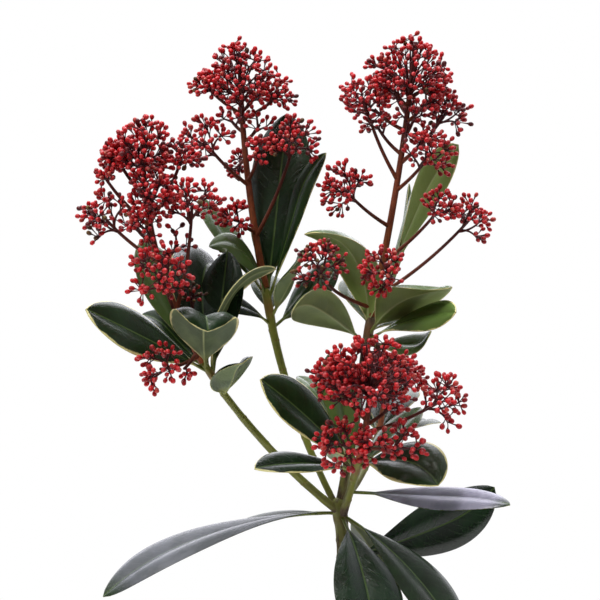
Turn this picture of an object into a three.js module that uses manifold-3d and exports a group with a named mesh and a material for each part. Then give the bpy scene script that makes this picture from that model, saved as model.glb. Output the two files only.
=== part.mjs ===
// Potted skimmia, a small evergreen shrub in a round clay pot. One trunk forks into five shoots, and each
// shoot carries a tuft of leathery leaves and, above it, a branching head of red flower buds.
// Millimetres, +Z up. The origin is the centre of the pot's underside, +X is right and +Y is the back.

import * as THREE from 'three';
import { mergeVertices } from 'three/addons/utils/BufferGeometryUtils.js';
import Module from 'manifold-3d';

const wasm = await Module();
wasm.setup();

// Driving dimensions
const GAP = 0.3;

const POT_HEIGHT = 115;
const POT_BASE_RADIUS = 46;
const POT_TOP_RADIUS = 65;
const POT_WALL = 6;
const POT_FLOOR = 8;
const POT_CHAMFER = 2;
const RIM_HEIGHT = 24;
const RIM_STEP = 3.5;
const POT_SIDES = 32;

const COMPOST_TOP = 101;
const COMPOST_EDGE_DROP = 1.8;
const COMPOST_LEVEL_RADIUS = 18;

const TRUNK_FOOT = [0, 0, COMPOST_TOP + GAP];
const TRUNK_BENDS = [[1, 0.4, 130], [0.6, 0.2, 165], [-0.6, 0, 187]];
const TRUNK_HEAD = [-3.2, 0, 204.4];
const TRUNK_RADIUS = 4.8;
const TRUNK_NECK_RADIUS = 2.9;
const ROOT_FLARE = 4.2;
const FLARE_SHARE = 0.14;
const HEAD_SWELL = 0.9;
const SWELL_SHARES = [0.84, 0.93];
const ROUND_SHARE = 0.05;
const TOP_RADIUS_SHARE = 0.22;

const LEAF_STALK = 0.1;
const LEAF_STALK_RADIUS = 0.9;
const LEAF_FOOT = 0.2;
const LEAF_THINNING = [0.05, 0.25];
const LEAF_FOLD = 12;
const LEAF_THINNEST = 1.3;
const LEAF_LENGTH_PER_THICKNESS = 48;
const LONG_LEAF = 60;

const HEAD_STALK_RADIUS = 1.9;
const HEAD_STALK_TIP = 1.2;
const SPRAY_STALK_RADIUS = 0.95;
const SPRAY_STALK_TIP = 0.75;
const TWIG_RADIUS = 0.5;
const TWIG_ROOT_RADIUS = 0.3;
const BUD_RADIUS = 2.6;
const BUD_LENGTH = 3.1;
const BUD_SIDES = 3;
const BUD_ROOM = 4.8;
const SPRAY_SWING = 18;

// Five shoots from the trunk's head. Each is an arc from its root (azimuth, rise, length and upward bend),
// with its radius at the root and at the tip.
const SHOOTS = {
  left: { root: [-2.8, -1, 197.7], azimuth: 199, rise: 39, length: 85.5, bend: 14, radii: [2.1, 1.75] },
  middle: { root: [-4.6, 1, 201.4], azimuth: 157, rise: 60.5, length: 92, bend: 16, radii: [1.6, 2.1] },
  right: { root: [-1.3, 1, 202.9], azimuth: 22, rise: 79, length: 78, bend: 2, radii: [2.45, 2.3] },
  front: { root: [-0.3, -2, 196.9], azimuth: 290, rise: 51, length: 23.5, bend: 6, radii: [2.1, 1.95] },
  back: { root: [-1.3, 2, 201.2], azimuth: 67, rise: 11, length: 50.5, bend: 26, radii: [1.8, 1.6] },
};

// The leafy tip of each shoot: a short stem that goes on from it, and the leaves on that stem. A leaf has
// the place of its root along the stem (0 foot, 1 tip), its azimuth, rise, length and width, then how far
// it bends up, rolls and twists about its midrib, hooks near the tip, folds along it and swings sideways.
const TUFTS = {
  left: {
    stem: { azimuth: 201, rise: 56, length: 20.3 },
    leaves: [
      { at: 0.72, azimuth: 203, rise: 30, length: 70, width: 30, bend: -4, roll: 44, fold: 10 },
      { at: 0.73, azimuth: 149, rise: 36, length: 48, width: 24, bend: 10, roll: 20, hook: -40, fold: 14 },
      { at: 0.85, azimuth: 264, rise: 47, length: 50, width: 34, bend: 10, roll: 8, hook: -125, swing: 20 },
      {
        at: 0.05, azimuth: 284, rise: 17, length: 31, width: 28,
        bend: 57, roll: -33, twist: 18, hook: -51, fold: 18, swing: 18,
      },
      { at: 0.88, azimuth: 145, rise: 57, length: 72, width: 27, roll: 20, fold: 10 },
      {
        at: 0.76, azimuth: 122, rise: 86, length: 80, width: 36,
        bend: -67, roll: 9, twist: -67, hook: -66, fold: 0, swing: -60,
      },
      { at: 0.58, azimuth: 68, rise: 73, length: 63, width: 24, fold: 14 },
      {
        at: 0.58, azimuth: 353, rise: 102, length: 70, width: 14,
        bend: -81, roll: 11, twist: 34, hook: -21, fold: 1, swing: 37,
      },
      {
        at: 0.71, azimuth: 106, rise: 43, length: 57, width: 20,
        bend: -40, roll: -13, twist: 16, hook: -6, fold: 4, swing: -15,
      },
    ],
  },
  middle: {
    stem: { azimuth: 144, rise: 77, length: 22.7 },
    leaves: [
      { at: 0.82, azimuth: 66, rise: 75, length: 96, width: 34, fold: 8 },
      {
        at: 0.76, azimuth: 347, rise: 72, length: 81, width: 19,
        bend: 3, roll: -25, twist: -31, hook: -29, fold: 3, swing: -9,
      },
      {
        at: 0.82, azimuth: 222, rise: 77, length: 46, width: 23,
        bend: -53, roll: 32, twist: -4, hook: -57, fold: 0, swing: -44,
      },
      { at: 0.84, azimuth: 146, rise: 50, length: 64, width: 24 },
      {
        at: 0.17, azimuth: 213, rise: 41, length: 36, width: 18,
        bend: -35, roll: 23, twist: 15, hook: 13, fold: 7, swing: -16,
      },
      {
        at: 0.34, azimuth: 327, rise: 62, length: 41, width: 23,
        bend: -14, roll: 25, twist: -75, hook: 18, fold: 20, swing: -13,
      },
      {
        at: 0.11, azimuth: 29, rise: 35, length: 49, width: 21,
        bend: 24, roll: -36, twist: 2, hook: -12, fold: 0, swing: -20,
      },
      { at: 0.81, azimuth: 80, rise: 76, length: 66, width: 24, bend: -30 },
      { at: 0.31, azimuth: 95, rise: 44, length: 40, width: 18, bend: -30 },
    ],
  },
  right: {
    stem: { azimuth: 38, rise: 78, length: 15.8 },
    leaves: [
      {
        at: 0.12, azimuth: 216, rise: 40, length: 66, width: 23,
        bend: -32, roll: -25, twist: -33, hook: -24, fold: 6, swing: 31,
      },
      {
        at: 0.33, azimuth: 241, rise: 104, length: 73, width: 34,
        bend: -84, roll: -10, twist: -2, hook: -27, fold: 1, swing: -56,
      },
      {
        at: 0.43, azimuth: 309, rise: 52, length: 62, width: 32,
        bend: -57, roll: 61, twist: -68, hook: 13, fold: 10, swing: 7,
      },
      {
        at: 0.25, azimuth: 322, rise: 32, length: 65, width: 19,
        bend: -34, roll: -21, twist: -41, hook: 7, fold: 1, swing: -22,
      },
      {
        at: 0.06, azimuth: 344, rise: 3, length: 37, width: 22,
        roll: -21, twist: -6, hook: 60, fold: 9, swing: -18,
      },
      {
        at: 0.76, azimuth: 45, rise: 63, length: 107, width: 30,
        bend: -5, roll: 21, twist: 62, hook: -14, fold: 4, swing: -17,
      },
      {
        at: 0.76, azimuth: 44, rise: 49, length: 80, width: 19,
        bend: 21, roll: 50, twist: 35, hook: 18, fold: 3, swing: 28,
      },
      { at: 0.54, azimuth: 98, rise: 52, length: 46, width: 24, bend: -40 },
      { at: 0.4, azimuth: 64, rise: 26, length: 46, width: 24, bend: -40, roll: -10 },
    ],
  },
  front: {
    stem: { azimuth: 299, rise: 62, length: 12.3 },
    leaves: [
      { at: 0.47, azimuth: 208, rise: 18, length: 56, width: 22, bend: -25, roll: 20, fold: 14 },
      { at: 0.61, azimuth: 200, rise: 50, length: 68, width: 29, bend: -14, roll: 52, fold: 14 },
      { at: 0.61, azimuth: 320, rise: 30, length: 53, width: 31, bend: -60, roll: -32, hook: -20 },
      { at: 0.62, azimuth: 129, rise: 71, length: 59, width: 25 },
      { at: 0.6, azimuth: 36, rise: 34, length: 48, width: 22 },
      { at: 0.56, azimuth: 137, rise: 63, length: 60, width: 20, bend: -20, hook: -30 },
    ],
  },
  back: {
    stem: { azimuth: 61, rise: 55, length: 11.9 },
    leaves: [
      { at: 0.32, azimuth: 48, rise: 23, length: 51, width: 26, bend: -35 },
      { at: 0.54, azimuth: 73, rise: 34, length: 62, width: 28, bend: -30 },
      { at: 0.61, azimuth: 96, rise: 29, length: 66, width: 28, bend: -40 },
      { at: 0.44, azimuth: 134, rise: 20, length: 44, width: 26, bend: -35 },
      { at: 0.14, azimuth: 111, rise: -3, length: 53, width: 24, bend: -30 },
    ],
  },
};

// Older leaves on the trunk stand on a band round it, open on one side.
const BANDS = {
  fork: {
    foot: 190.5,
    height: 7,
    open: 235,
    leaves: [
      {
        at: 0.9, azimuth: 196, rise: 2, length: 125, width: 30,
        bend: -35, roll: -11, twist: 31, hook: -8, fold: 7, swing: -2,
      },
      { at: 0.5, azimuth: 287, rise: -24, length: 78, width: 37, bend: -45, roll: 8, fold: 10 },
      { at: 0.5, azimuth: 332, rise: -25, length: 86, width: 36, bend: -35, roll: -10, fold: 10 },
      { at: 0.8, azimuth: 160, rise: 0, length: 76, width: 20, bend: -34, roll: 4 },
      { at: 0.5, azimuth: 60, rise: -30, length: 72, width: 28, bend: -30, roll: -10 },
      { at: 0.3, azimuth: 73, rise: -39, length: 84, width: 24, bend: -40 },
    ],
  },
  trunk: {
    foot: 138,
    height: 7,
    open: 180,
    leaves: [
      { at: 0.5, azimuth: 120, rise: -4, length: 84, width: 30, bend: -16 },
      { at: 0.5, azimuth: 215, rise: -4, length: 90, width: 32, bend: -16 },
      { at: 0.4, azimuth: 262, rise: -6, length: 74, width: 30, bend: -14 },
      { at: 0.5, azimuth: 338, rise: -5, length: 88, width: 30, bend: -16 },
    ],
  },
};

// Two leaves stand alone, on the front shoot and low on the trunk's right.
const SINGLE_LEAVES = {
  front_shoot: {
    root: [4, -11.2, 209.2],
    leaf: {
      azimuth: 351, rise: -1, length: 84, width: 20,
      bend: 6, roll: -42, twist: 26, hook: -9, fold: 0, swing: -32,
    },
  },
  trunk: {
    root: [1.5, 1.2, 173.6],
    leaf: {
      azimuth: 21, rise: 9, length: 92, width: 29,
      bend: 12, roll: -94, twist: 21, hook: 20, fold: 5, swing: 7,
    },
  },
};

// The flower heads. The stalk goes on from the tuft's stem, a dome of buds crowns it (its centre as a share
// of the stalk, half its width and height, and its bud groups), and smaller round sprays stand beside it.
const FLOWER_HEADS = {
  left: {
    stalk: { azimuth: 192, rise: 59, length: 119, bend: 34 },
    dome: { at: 0.9, width: 15, height: 17, count: 18 },
    sprays: [
      { at: 0.72, azimuth: 181, rise: 45, length: 24, size: 7, count: 4 },
      { at: 0.6, azimuth: 199, rise: 38, length: 33, size: 3, count: 2 },
      { at: 0.62, azimuth: 26, rise: 52, length: 35, size: 8, count: 4 },
      { at: 0.62, azimuth: 276, rise: 40, length: 20, size: 10, count: 6 },
      { at: 0.45, azimuth: 192, rise: 31, length: 35, size: 12, count: 6 },
      { at: 0.5, azimuth: 257, rise: 30, length: 20, size: 8, count: 4 },
      { at: 0.24, azimuth: 319, rise: 69, length: 53, size: 13, count: 7 },
      { at: 0.14, azimuth: 250, rise: 36, length: 43, size: 14, count: 8 },
      { at: 0.14, azimuth: 66, rise: 55, length: 19, size: 7, count: 4 },
      { at: 0.03, azimuth: 240, rise: -14, length: 34, size: 10, count: 5 },
      { at: 0.05, azimuth: 252, rise: -30, length: 18, size: 5, count: 2 },
    ],
  },
  middle: {
    stalk: { azimuth: 152, rise: 77, length: 120, bend: 12 },
    dome: { at: 0.88, width: 18.5, height: 20, count: 23 },
    sprays: [
      { at: 0.72, azimuth: 2, rise: 24, length: 22, size: 9, count: 4 },
      { at: 0.74, azimuth: 190, rise: 29, length: 24, size: 6, count: 3 },
      { at: 0.44, azimuth: 216, rise: 31, length: 35, size: 12, count: 6 },
      { at: 0.56, azimuth: 109, rise: -29, length: 13, size: 6, count: 3 },
      { at: 0.46, azimuth: 289, rise: 28, length: 26, size: 7, count: 4 },
      { at: 0.22, azimuth: 322, rise: 54, length: 55, size: 11, count: 6 },
      { at: 0.24, azimuth: 240, rise: 14, length: 21, size: 7, count: 4 },
      { at: 0.08, azimuth: 190, rise: 14, length: 20, size: 6, count: 3 },
    ],
  },
  right: {
    stalk: { azimuth: 24, rise: 76, length: 140, bend: 8 },
    dome: { at: 0.88, width: 21, height: 20, count: 27 },
    sprays: [
      { at: 0.5, azimuth: 199, rise: 57, length: 45, size: 12, count: 6 },
      { at: 0.56, azimuth: 17, rise: 37, length: 36, size: 11, count: 6 },
      { at: 0.46, azimuth: 326, rise: 34, length: 28, size: 12, count: 6 },
      { at: 0.33, azimuth: 209, rise: 27, length: 32, size: 12, count: 7 },
      { at: 0.2, azimuth: 330, rise: 32, length: 42, size: 9, count: 4 },
      { at: 0.07, azimuth: 352, rise: 31, length: 62, size: 11, count: 5 },
      { at: 0.03, azimuth: 205, rise: 17, length: 55, swing: 60, size: 12, count: 7 },
      { at: 0.12, azimuth: 310, rise: 4, length: 42, swing: -80, size: 10, count: 6 },
    ],
  },
  front: {
    stalk: { azimuth: 278, rise: 41, length: 56, bend: 25 },
    dome: { at: 1, width: 27, height: 20, count: 28 },
    sprays: [
      { at: 0.55, azimuth: 205, rise: 39, length: 26, size: 11, count: 5 },
      { at: 0.4, azimuth: 345, rise: 15, length: 41, size: 12, count: 6 },
      { at: 0.15, azimuth: 252, rise: 5, length: 31, size: 13, count: 7 },
      { at: 0.2, azimuth: 307, rise: 0, length: 31, size: 10, count: 4 },
      { at: 0.3, azimuth: 275, rise: -5, length: 31, size: 7, count: 3 },
    ],
  },
  back: {
    stalk: { azimuth: 70, rise: 55, length: 32, bend: 20 },
    dome: { at: 1, width: 15, height: 12, count: 12 },
    sprays: [
      { at: 0.45, azimuth: 145, rise: 30, length: 18, size: 7, count: 4 },
      { at: 0.5, azimuth: 30, rise: 20, length: 22, size: 7, count: 4 },
      { at: 0.4, azimuth: 85, rise: 22, length: 26, size: 8, count: 4 },
    ],
  },
};

// Colours and finishes
const clay = new THREE.MeshStandardMaterial({ color: 0xb5684a, roughness: 0.85, metalness: 0 });
const soil = new THREE.MeshStandardMaterial({ color: 0x2c211a, roughness: 1, metalness: 0 });
const bark = new THREE.MeshStandardMaterial({ color: 0x6b6a3c, roughness: 0.75, metalness: 0 });
const leafGreen = new THREE.MeshStandardMaterial({ color: 0x2f3d2a, roughness: 0.4, metalness: 0 });
const budRed = new THREE.MeshStandardMaterial({ color: 0x8e1f24, roughness: 0.45, metalness: 0 });

// Solids
function solidOf(geometry) {
  geometry.deleteAttribute('normal');
  geometry.deleteAttribute('uv');
  const merged = mergeVertices(geometry, 1e-4);
  return new wasm.Manifold(new wasm.Mesh({
    numProp: 3,
    vertProperties: new Float32Array(merged.attributes.position.array),
    triVerts: new Uint32Array(merged.index.array),
  }));
}

function geometryOf(solid) {
  const { vertProperties, triVerts } = solid.getMesh();
  const geometry = new THREE.BufferGeometry();
  geometry.setAttribute('position', new THREE.BufferAttribute(vertProperties, 3));
  geometry.setIndex(new THREE.BufferAttribute(triVerts, 1));
  geometry.computeVertexNormals();
  return geometry;
}

function joined(solids) {
  return solids.reduce((whole, solid) => whole.add(solid));
}

// The main piece of a cut solid, without the scraps that the cut left.
function mainPiece(solid) {
  return solid.decompose().reduce((best, piece) => (piece.volume() > best.volume() ? piece : best));
}

// Curves that stems, leaves and stalks follow
const ARC_STEPS = 24;
const HOOK_START = 0.6;

function vector([x, y, z]) {
  return new THREE.Vector3(x, y, z);
}

function direction(azimuth, rise) {
  const turn = THREE.MathUtils.degToRad(azimuth);
  const lift = THREE.MathUtils.degToRad(rise);
  return new THREE.Vector3(Math.cos(lift) * Math.cos(turn), Math.cos(lift) * Math.sin(turn), Math.sin(lift));
}

function arc(start, { azimuth, rise, length, bend = 0, hook = 0, swing = 0 }) {
  const points = [start.clone()];
  for (let i = 0; i < ARC_STEPS; i += 1) {
    const share = (i + 0.5) / ARC_STEPS;
    const late = THREE.MathUtils.smoothstep(share, HOOK_START, 1);
    const step = direction(azimuth + swing * share, rise + bend * share + hook * late);
    points.push(points[i].clone().addScaledVector(step, length / ARC_STEPS));
  }
  return new THREE.CatmullRomCurve3(points);
}

// A round limb along a curve; radiusAt gives its radius at each share of the length.
function limb(curve, radiusAt, sides, rings) {
  const { normals, binormals } = curve.computeFrenetFrames(rings);
  const geometry = new THREE.CylinderGeometry(1, 1, 1, sides, rings);
  const position = geometry.attributes.position;
  for (let i = 0; i < position.count; i += 1) {
    const share = position.getY(i) + 0.5;
    const ring = Math.round(share * rings);
    const point = curve.getPointAt(share);
    point.addScaledVector(binormals[ring], position.getX(i) * radiusAt(share));
    point.addScaledVector(normals[ring], position.getZ(i) * radiusAt(share));
    position.setXYZ(i, point.x, point.y, point.z);
  }
  return solidOf(geometry);
}

function tapered(first, last, extra = 0) {
  return (share) => THREE.MathUtils.lerp(first, last, share) + extra;
}

// Pot: a tapered clay wall with a thicker rim band, and a flat floor
function pot() {
  const rimFoot = POT_HEIGHT - RIM_HEIGHT;
  const wallSlope = (POT_TOP_RADIUS - RIM_STEP - POT_BASE_RADIUS) / POT_HEIGHT;
  const outer = (height) => POT_BASE_RADIUS + wallSlope * height;
  const profile = [
    [0, 0],
    [outer(0) - POT_CHAMFER, 0],
    [outer(POT_CHAMFER), POT_CHAMFER],
    [outer(rimFoot), rimFoot],
    [outer(rimFoot) + RIM_STEP, rimFoot + POT_CHAMFER],
    [POT_TOP_RADIUS, POT_HEIGHT - POT_CHAMFER],
    [POT_TOP_RADIUS - POT_CHAMFER, POT_HEIGHT],
    [outer(POT_HEIGHT) - POT_WALL + POT_CHAMFER, POT_HEIGHT],
    [outer(POT_HEIGHT) - POT_WALL, POT_HEIGHT - POT_CHAMFER],
    [outer(POT_FLOOR) - POT_WALL, POT_FLOOR],
    [0, POT_FLOOR],
  ];
  return new THREE.LatheGeometry(profile.map(([r, z]) => new THREE.Vector2(r, z)), POT_SIDES);
}

// Compost: fills the pot to a little under the rim, level round the trunk and sunk towards the wall
function compost() {
  const wallSlope = (POT_TOP_RADIUS - RIM_STEP - POT_BASE_RADIUS) / POT_HEIGHT;
  const inner = (height) => POT_BASE_RADIUS + wallSlope * height - POT_WALL - GAP;
  const edge = COMPOST_TOP - COMPOST_EDGE_DROP;
  const profile = [
    [0, POT_FLOOR + GAP],
    [inner(POT_FLOOR), POT_FLOOR + GAP],
    [inner(edge), edge],
    [COMPOST_LEVEL_RADIUS, COMPOST_TOP],
    [0, COMPOST_TOP],
  ];
  return new THREE.LatheGeometry(profile.map(([r, z]) => new THREE.Vector2(r, z)), POT_SIDES);
}

// Trunk: flared at its flat-cut foot, leaning left near the top, and swollen where the shoots leave it
const trunkCurve = new THREE.CatmullRomCurve3([TRUNK_FOOT, ...TRUNK_BENDS, TRUNK_HEAD].map(vector));
const TRUNK_SIDES = 8;
const TRUNK_RINGS = 16;

function trunkRadius(share) {
  const flare = ROOT_FLARE * Math.max(0, 1 - share / FLARE_SHARE) ** 2;
  const swell = HEAD_SWELL * THREE.MathUtils.smoothstep(share, ...SWELL_SHARES);
  const late = Math.max(0, (share - 1 + ROUND_SHARE) / ROUND_SHARE);
  const round = Math.sqrt(Math.max(TOP_RADIUS_SHARE ** 2, 1 - late ** 2));
  return (THREE.MathUtils.lerp(TRUNK_RADIUS, TRUNK_NECK_RADIUS, share) + flare + swell) * round;
}

function trunk(extra = 0) {
  const geometry = new THREE.CylinderGeometry(1, 1, 1, TRUNK_SIDES, TRUNK_RINGS);
  const position = geometry.attributes.position;
  for (let i = 0; i < position.count; i += 1) {
    const share = position.getY(i) + 0.5;
    const point = trunkCurve.getPoint(share);
    const radius = trunkRadius(share) + extra;
    position.setXYZ(i, point.x + position.getZ(i) * radius, point.y + position.getX(i) * radius, point.z);
  }
  return solidOf(geometry);
}

// Shoots: one tapering limb each, cut clear of the trunk's head and of the shoots made before it
const SHOOT_ORDER = ['right', 'left', 'front', 'middle', 'back'];
const SHOOT_SIDES = 8;
const SHOOT_RINGS = 5;

function shootCurve(name) {
  return arc(vector(SHOOTS[name].root), SHOOTS[name]);
}

function shoots() {
  const made = {};
  const grown = [trunk(GAP)];
  for (const name of SHOOT_ORDER) {
    const curve = shootCurve(name);
    const [first, last] = SHOOTS[name].radii;
    const whole = limb(curve, tapered(first, last), SHOOT_SIDES, SHOOT_RINGS);
    made[name] = mainPiece(grown.reduce((left, neighbour) => left.subtract(neighbour), whole));
    grown.push(limb(curve, tapered(first, last, GAP), SHOOT_SIDES, SHOOT_RINGS));
  }
  return made;
}

// Leaves: a thin blade on a short stalk, widest past the middle, drawn in to a blunt point
const LEAF_RISE_POWER = 1.15;
const LEAF_FALL_POWER = 0.72;
const LEAF_TIP_HALF = 0.4;
const LONG_LEAF_RINGS = 7;
const SHORT_LEAF_RINGS = 6;

function leafOutline(share) {
  const blade = Math.max(0, (share - LEAF_STALK) / (1 - LEAF_STALK));
  const peak = LEAF_RISE_POWER / (LEAF_RISE_POWER + LEAF_FALL_POWER);
  const scale = peak ** LEAF_RISE_POWER * (1 - peak) ** LEAF_FALL_POWER;
  return (blade ** LEAF_RISE_POWER * Math.max(0, 1 - blade) ** LEAF_FALL_POWER) / scale;
}

// The point of a leaf at a share of its length, across from -1 to 1 and lifted from its middle layer.
function leafPoint(path, leaf, share, across, lift) {
  const { azimuth, width, roll = 0, twist = 0, fold = LEAF_FOLD, swing = 0 } = leaf;
  const turn = THREE.MathUtils.degToRad(azimuth + swing * share);
  const level = new THREE.Vector3(Math.sin(turn), -Math.cos(turn), 0);
  const upper = new THREE.Vector3().crossVectors(level, path.getTangent(share)).normalize();
  const lean = THREE.MathUtils.degToRad(roll + twist * share);
  const side = level.clone().multiplyScalar(Math.cos(lean)).addScaledVector(upper, Math.sin(lean));
  const face = upper.clone().multiplyScalar(Math.cos(lean)).addScaledVector(level, -Math.sin(lean));
  const blade = (width / 2) * leafOutline(share);
  const half = Math.max(LEAF_TIP_HALF, blade, share < LEAF_FOOT ? LEAF_STALK_RADIUS : 0);
  const crease = THREE.MathUtils.degToRad(fold);
  return path.getPoint(share)
    .addScaledVector(side, half * across * Math.cos(crease))
    .addScaledVector(face, half * Math.abs(across) * Math.sin(crease) + lift);
}

function leafThickness(leaf, share) {
  const blade = Math.max(LEAF_THINNEST, leaf.length / LEAF_LENGTH_PER_THICKNESS);
  const thinned = THREE.MathUtils.smoothstep(share, ...LEAF_THINNING);
  return THREE.MathUtils.lerp(2 * LEAF_STALK_RADIUS, blade, thinned);
}

// Four sides: the midrib above and below, and the two margins.
function leafSolid(start, leaf) {
  const path = arc(start, leaf);
  const rings = leaf.length > LONG_LEAF ? LONG_LEAF_RINGS : SHORT_LEAF_RINGS;
  const geometry = new THREE.CylinderGeometry(1, 1, 1, 4, rings);
  const position = geometry.attributes.position;
  for (let i = 0; i < position.count; i += 1) {
    const share = position.getY(i) + 0.5;
    const lift = (position.getZ(i) * leafThickness(leaf, share)) / 2;
    const point = leafPoint(path, leaf, share, position.getX(i), lift);
    position.setXYZ(i, point.x, point.y, point.z);
  }
  return solidOf(geometry);
}

// Points spread over every leaf made so far, which the flower buds keep away from
const leafSamples = [];
const SAMPLES_ALONG = 24;
const SAMPLES_ACROSS = 3;
const FIRST_SAMPLE = 2;

function noteLeaf(start, leaf) {
  const path = arc(start, leaf);
  for (let i = FIRST_SAMPLE; i <= SAMPLES_ALONG; i += 1) {
    for (let j = -SAMPLES_ACROSS; j <= SAMPLES_ACROSS; j += 1) {
      leafSamples.push(leafPoint(path, leaf, i / SAMPLES_ALONG, j / SAMPLES_ACROSS, 0));
    }
  }
}

function growLeaf(start, leaf) {
  noteLeaf(start, leaf);
  return leafSolid(start, leaf);
}

// Tufts: a short stem on the tip of each shoot, with its leaves fused on
const STEM_SWELL = 0.25;
const STEM_RINGS = 3;
const ROOT_DEPTH = 0.5;

function tuftStem(name) {
  const foot = shootCurve(name).getPointAt(1);
  const { azimuth, rise, length } = TUFTS[name].stem;
  const way = direction(azimuth, rise);
  return new THREE.LineCurve3(foot.clone().addScaledVector(way, GAP), foot.addScaledVector(way, length));
}

function tuft(name, keepClear) {
  const stem = tuftStem(name);
  const radius = SHOOTS[name].radii[1];
  const radiusAt = (share) => radius + STEM_SWELL * Math.sin(Math.PI * share);
  const parts = [limb(stem, radiusAt, SHOOT_SIDES, STEM_RINGS)];
  for (const leaf of TUFTS[name].leaves) {
    const start = stem.getPointAt(leaf.at).addScaledVector(direction(leaf.azimuth, 0), radius * ROOT_DEPTH);
    parts.push(growLeaf(start, leaf));
  }
  return mainPiece(keepClear.reduce((left, neighbour) => left.subtract(neighbour), joined(parts)));
}

// Bands: a low swelling round the trunk, open on one side, that carries the older leaves
const BAND_THICKNESS = 1.5;
const BAND_DEPTH = 1;
const BAND_OPENING = 50;
const BAND_CURVE_STEPS = 10;
const TRUNK_STEPS = 100;

function trunkAt(height) {
  const shares = Array.from({ length: TRUNK_STEPS + 1 }, (_, i) => i / TRUNK_STEPS);
  const share = shares.find((value) => trunkCurve.getPoint(value).z >= height);
  return { centre: trunkCurve.getPoint(share), radius: trunkRadius(share) };
}

function band(name, keepClear) {
  const { foot, height, open, leaves } = BANDS[name];
  const { centre, radius } = trunkAt(foot + height / 2);
  const inner = radius + GAP;
  const outer = inner + BAND_THICKNESS;
  const from = THREE.MathUtils.degToRad(open + BAND_OPENING / 2);
  const to = THREE.MathUtils.degToRad(open + 360 - BAND_OPENING / 2);
  const outline = new THREE.Shape();
  outline.absarc(0, 0, outer, from, to, false);
  outline.absarc(0, 0, inner - BAND_DEPTH, to, from, true);
  const ring = new THREE.ExtrudeGeometry(outline, {
    depth: height,
    bevelEnabled: false,
    curveSegments: BAND_CURVE_STEPS,
  });
  ring.translate(centre.x, centre.y, foot);
  const parts = [solidOf(ring)];
  for (const leaf of leaves) {
    const reach = inner + BAND_THICKNESS * ROOT_DEPTH;
    const start = centre.clone().addScaledVector(direction(leaf.azimuth, 0), reach);
    start.z = foot + height * leaf.at;
    parts.push(growLeaf(start, leaf));
  }
  return mainPiece(keepClear.reduce((left, neighbour) => left.subtract(neighbour), joined(parts)));
}

// Single leaves, cut clear of the limb that they stand on
function singleLeaf(root, leaf, keepClear) {
  const whole = growLeaf(vector(root), leaf);
  return mainPiece(keepClear.reduce((left, neighbour) => left.subtract(neighbour), whole));
}

// Flower heads
const FIRST_SEED = 11;
const GOLDEN_ANGLE = Math.PI * (3 - Math.sqrt(5));
const CAP_DEPTH = 1.55;
const DOME_POWER = 1.6;
const SPRAY_POWER = 2;
const INNER_SHARE = 0.34;
const ROOT_SPREAD = 1.25;
const SPRAY_FORK = 0.45;
const DOME_FORK = 0.55;
const STALK_SIDES = 6;
const STALK_RINGS = 6;
const SPRAY_SIDES = 4;
const SPRAY_RINGS = 2;

// A number from 0 to 1 at each call, the same ones in each run (Lehmer's rule).
function dice(seed) {
  let state = seed;
  return () => {
    state = (state * 48271) % 2147483647;
    return state / 2147483647;
  };
}

// Bud groups stand in rings over a cap about a point of the axis, round at a power of 2 and nearer to a
// cone below that. Each has a twig that leaves the axis lower down, so that it slopes up and out.
function capTwigs(axis, at, { width, height, count, power }, lowest, roll) {
  const centre = axis.getPointAt(at);
  const up = axis.getTangentAt(at);
  const side = new THREE.Vector3().crossVectors(up, new THREE.Vector3(0, 1, 0)).normalize();
  const back = new THREE.Vector3().crossVectors(side, up);
  const reach = axis.getLength();
  const twigs = [];
  for (let k = 0; k < count; k += 1) {
    const high = 1 - ((k + 0.5) / count) * CAP_DEPTH;
    const wide = (1 - Math.abs(high) ** power) ** (1 / power) * width;
    const shell = 1 - INNER_SHARE * roll();
    const turn = k * GOLDEN_ANGLE;
    const tip = centre.clone()
      .addScaledVector(side, Math.cos(turn) * wide * shell)
      .addScaledVector(back, Math.sin(turn) * wide * shell)
      .addScaledVector(up, high * height * shell);
    const drop = ((k + 0.5) / count) * ROOT_SPREAD * height;
    const from = Math.max(lowest, at - drop / reach);
    twigs.push({ root: axis.getPointAt(from), tip });
  }
  return twigs;
}

function hasRoom(point) {
  return leafSamples.every((sample) => sample.distanceTo(point) > BUD_ROOM);
}

// A bud group on its twig: thin from the root, which sinks into the axis, and wide at the buds.
function budTwig({ root, tip }) {
  const length = tip.distanceTo(root);
  const profile = [
    [0, 0],
    [TWIG_ROOT_RADIUS, 0],
    [TWIG_RADIUS, length - BUD_LENGTH],
    [BUD_RADIUS, length],
    [0, length + BUD_LENGTH],
  ];
  const geometry = new THREE.LatheGeometry(profile.map(([r, z]) => new THREE.Vector2(r, z)), BUD_SIDES);
  const way = tip.clone().sub(root).normalize();
  geometry.applyQuaternion(new THREE.Quaternion().setFromUnitVectors(new THREE.Vector3(0, 1, 0), way));
  geometry.translate(root.x, root.y, root.z);
  return solidOf(geometry);
}

function flowerStalk(name) {
  const stem = tuftStem(name);
  const { azimuth, rise } = TUFTS[name].stem;
  return arc(stem.getPointAt(1).addScaledVector(direction(azimuth, rise), GAP), FLOWER_HEADS[name].stalk);
}

function sprayCurve(stalk, spray) {
  return arc(stalk.getPointAt(spray.at), { ...spray, bend: SPRAY_SWING });
}

// The bare limbs of a head: its stalk, and the stalk of each spray.
function headLimbs(name, extra = 0) {
  const stalk = flowerStalk(name);
  const foot = Math.min(HEAD_STALK_RADIUS, SHOOTS[name].radii[1]);
  const stalkRadius = tapered(foot, HEAD_STALK_TIP, extra);
  const sprayRadius = tapered(SPRAY_STALK_RADIUS, SPRAY_STALK_TIP, extra);
  const sprays = FLOWER_HEADS[name].sprays.map((spray) => (
    limb(sprayCurve(stalk, spray), sprayRadius, SPRAY_SIDES, SPRAY_RINGS)
  ));
  return [limb(stalk, stalkRadius, STALK_SIDES, STALK_RINGS), ...sprays];
}

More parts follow.
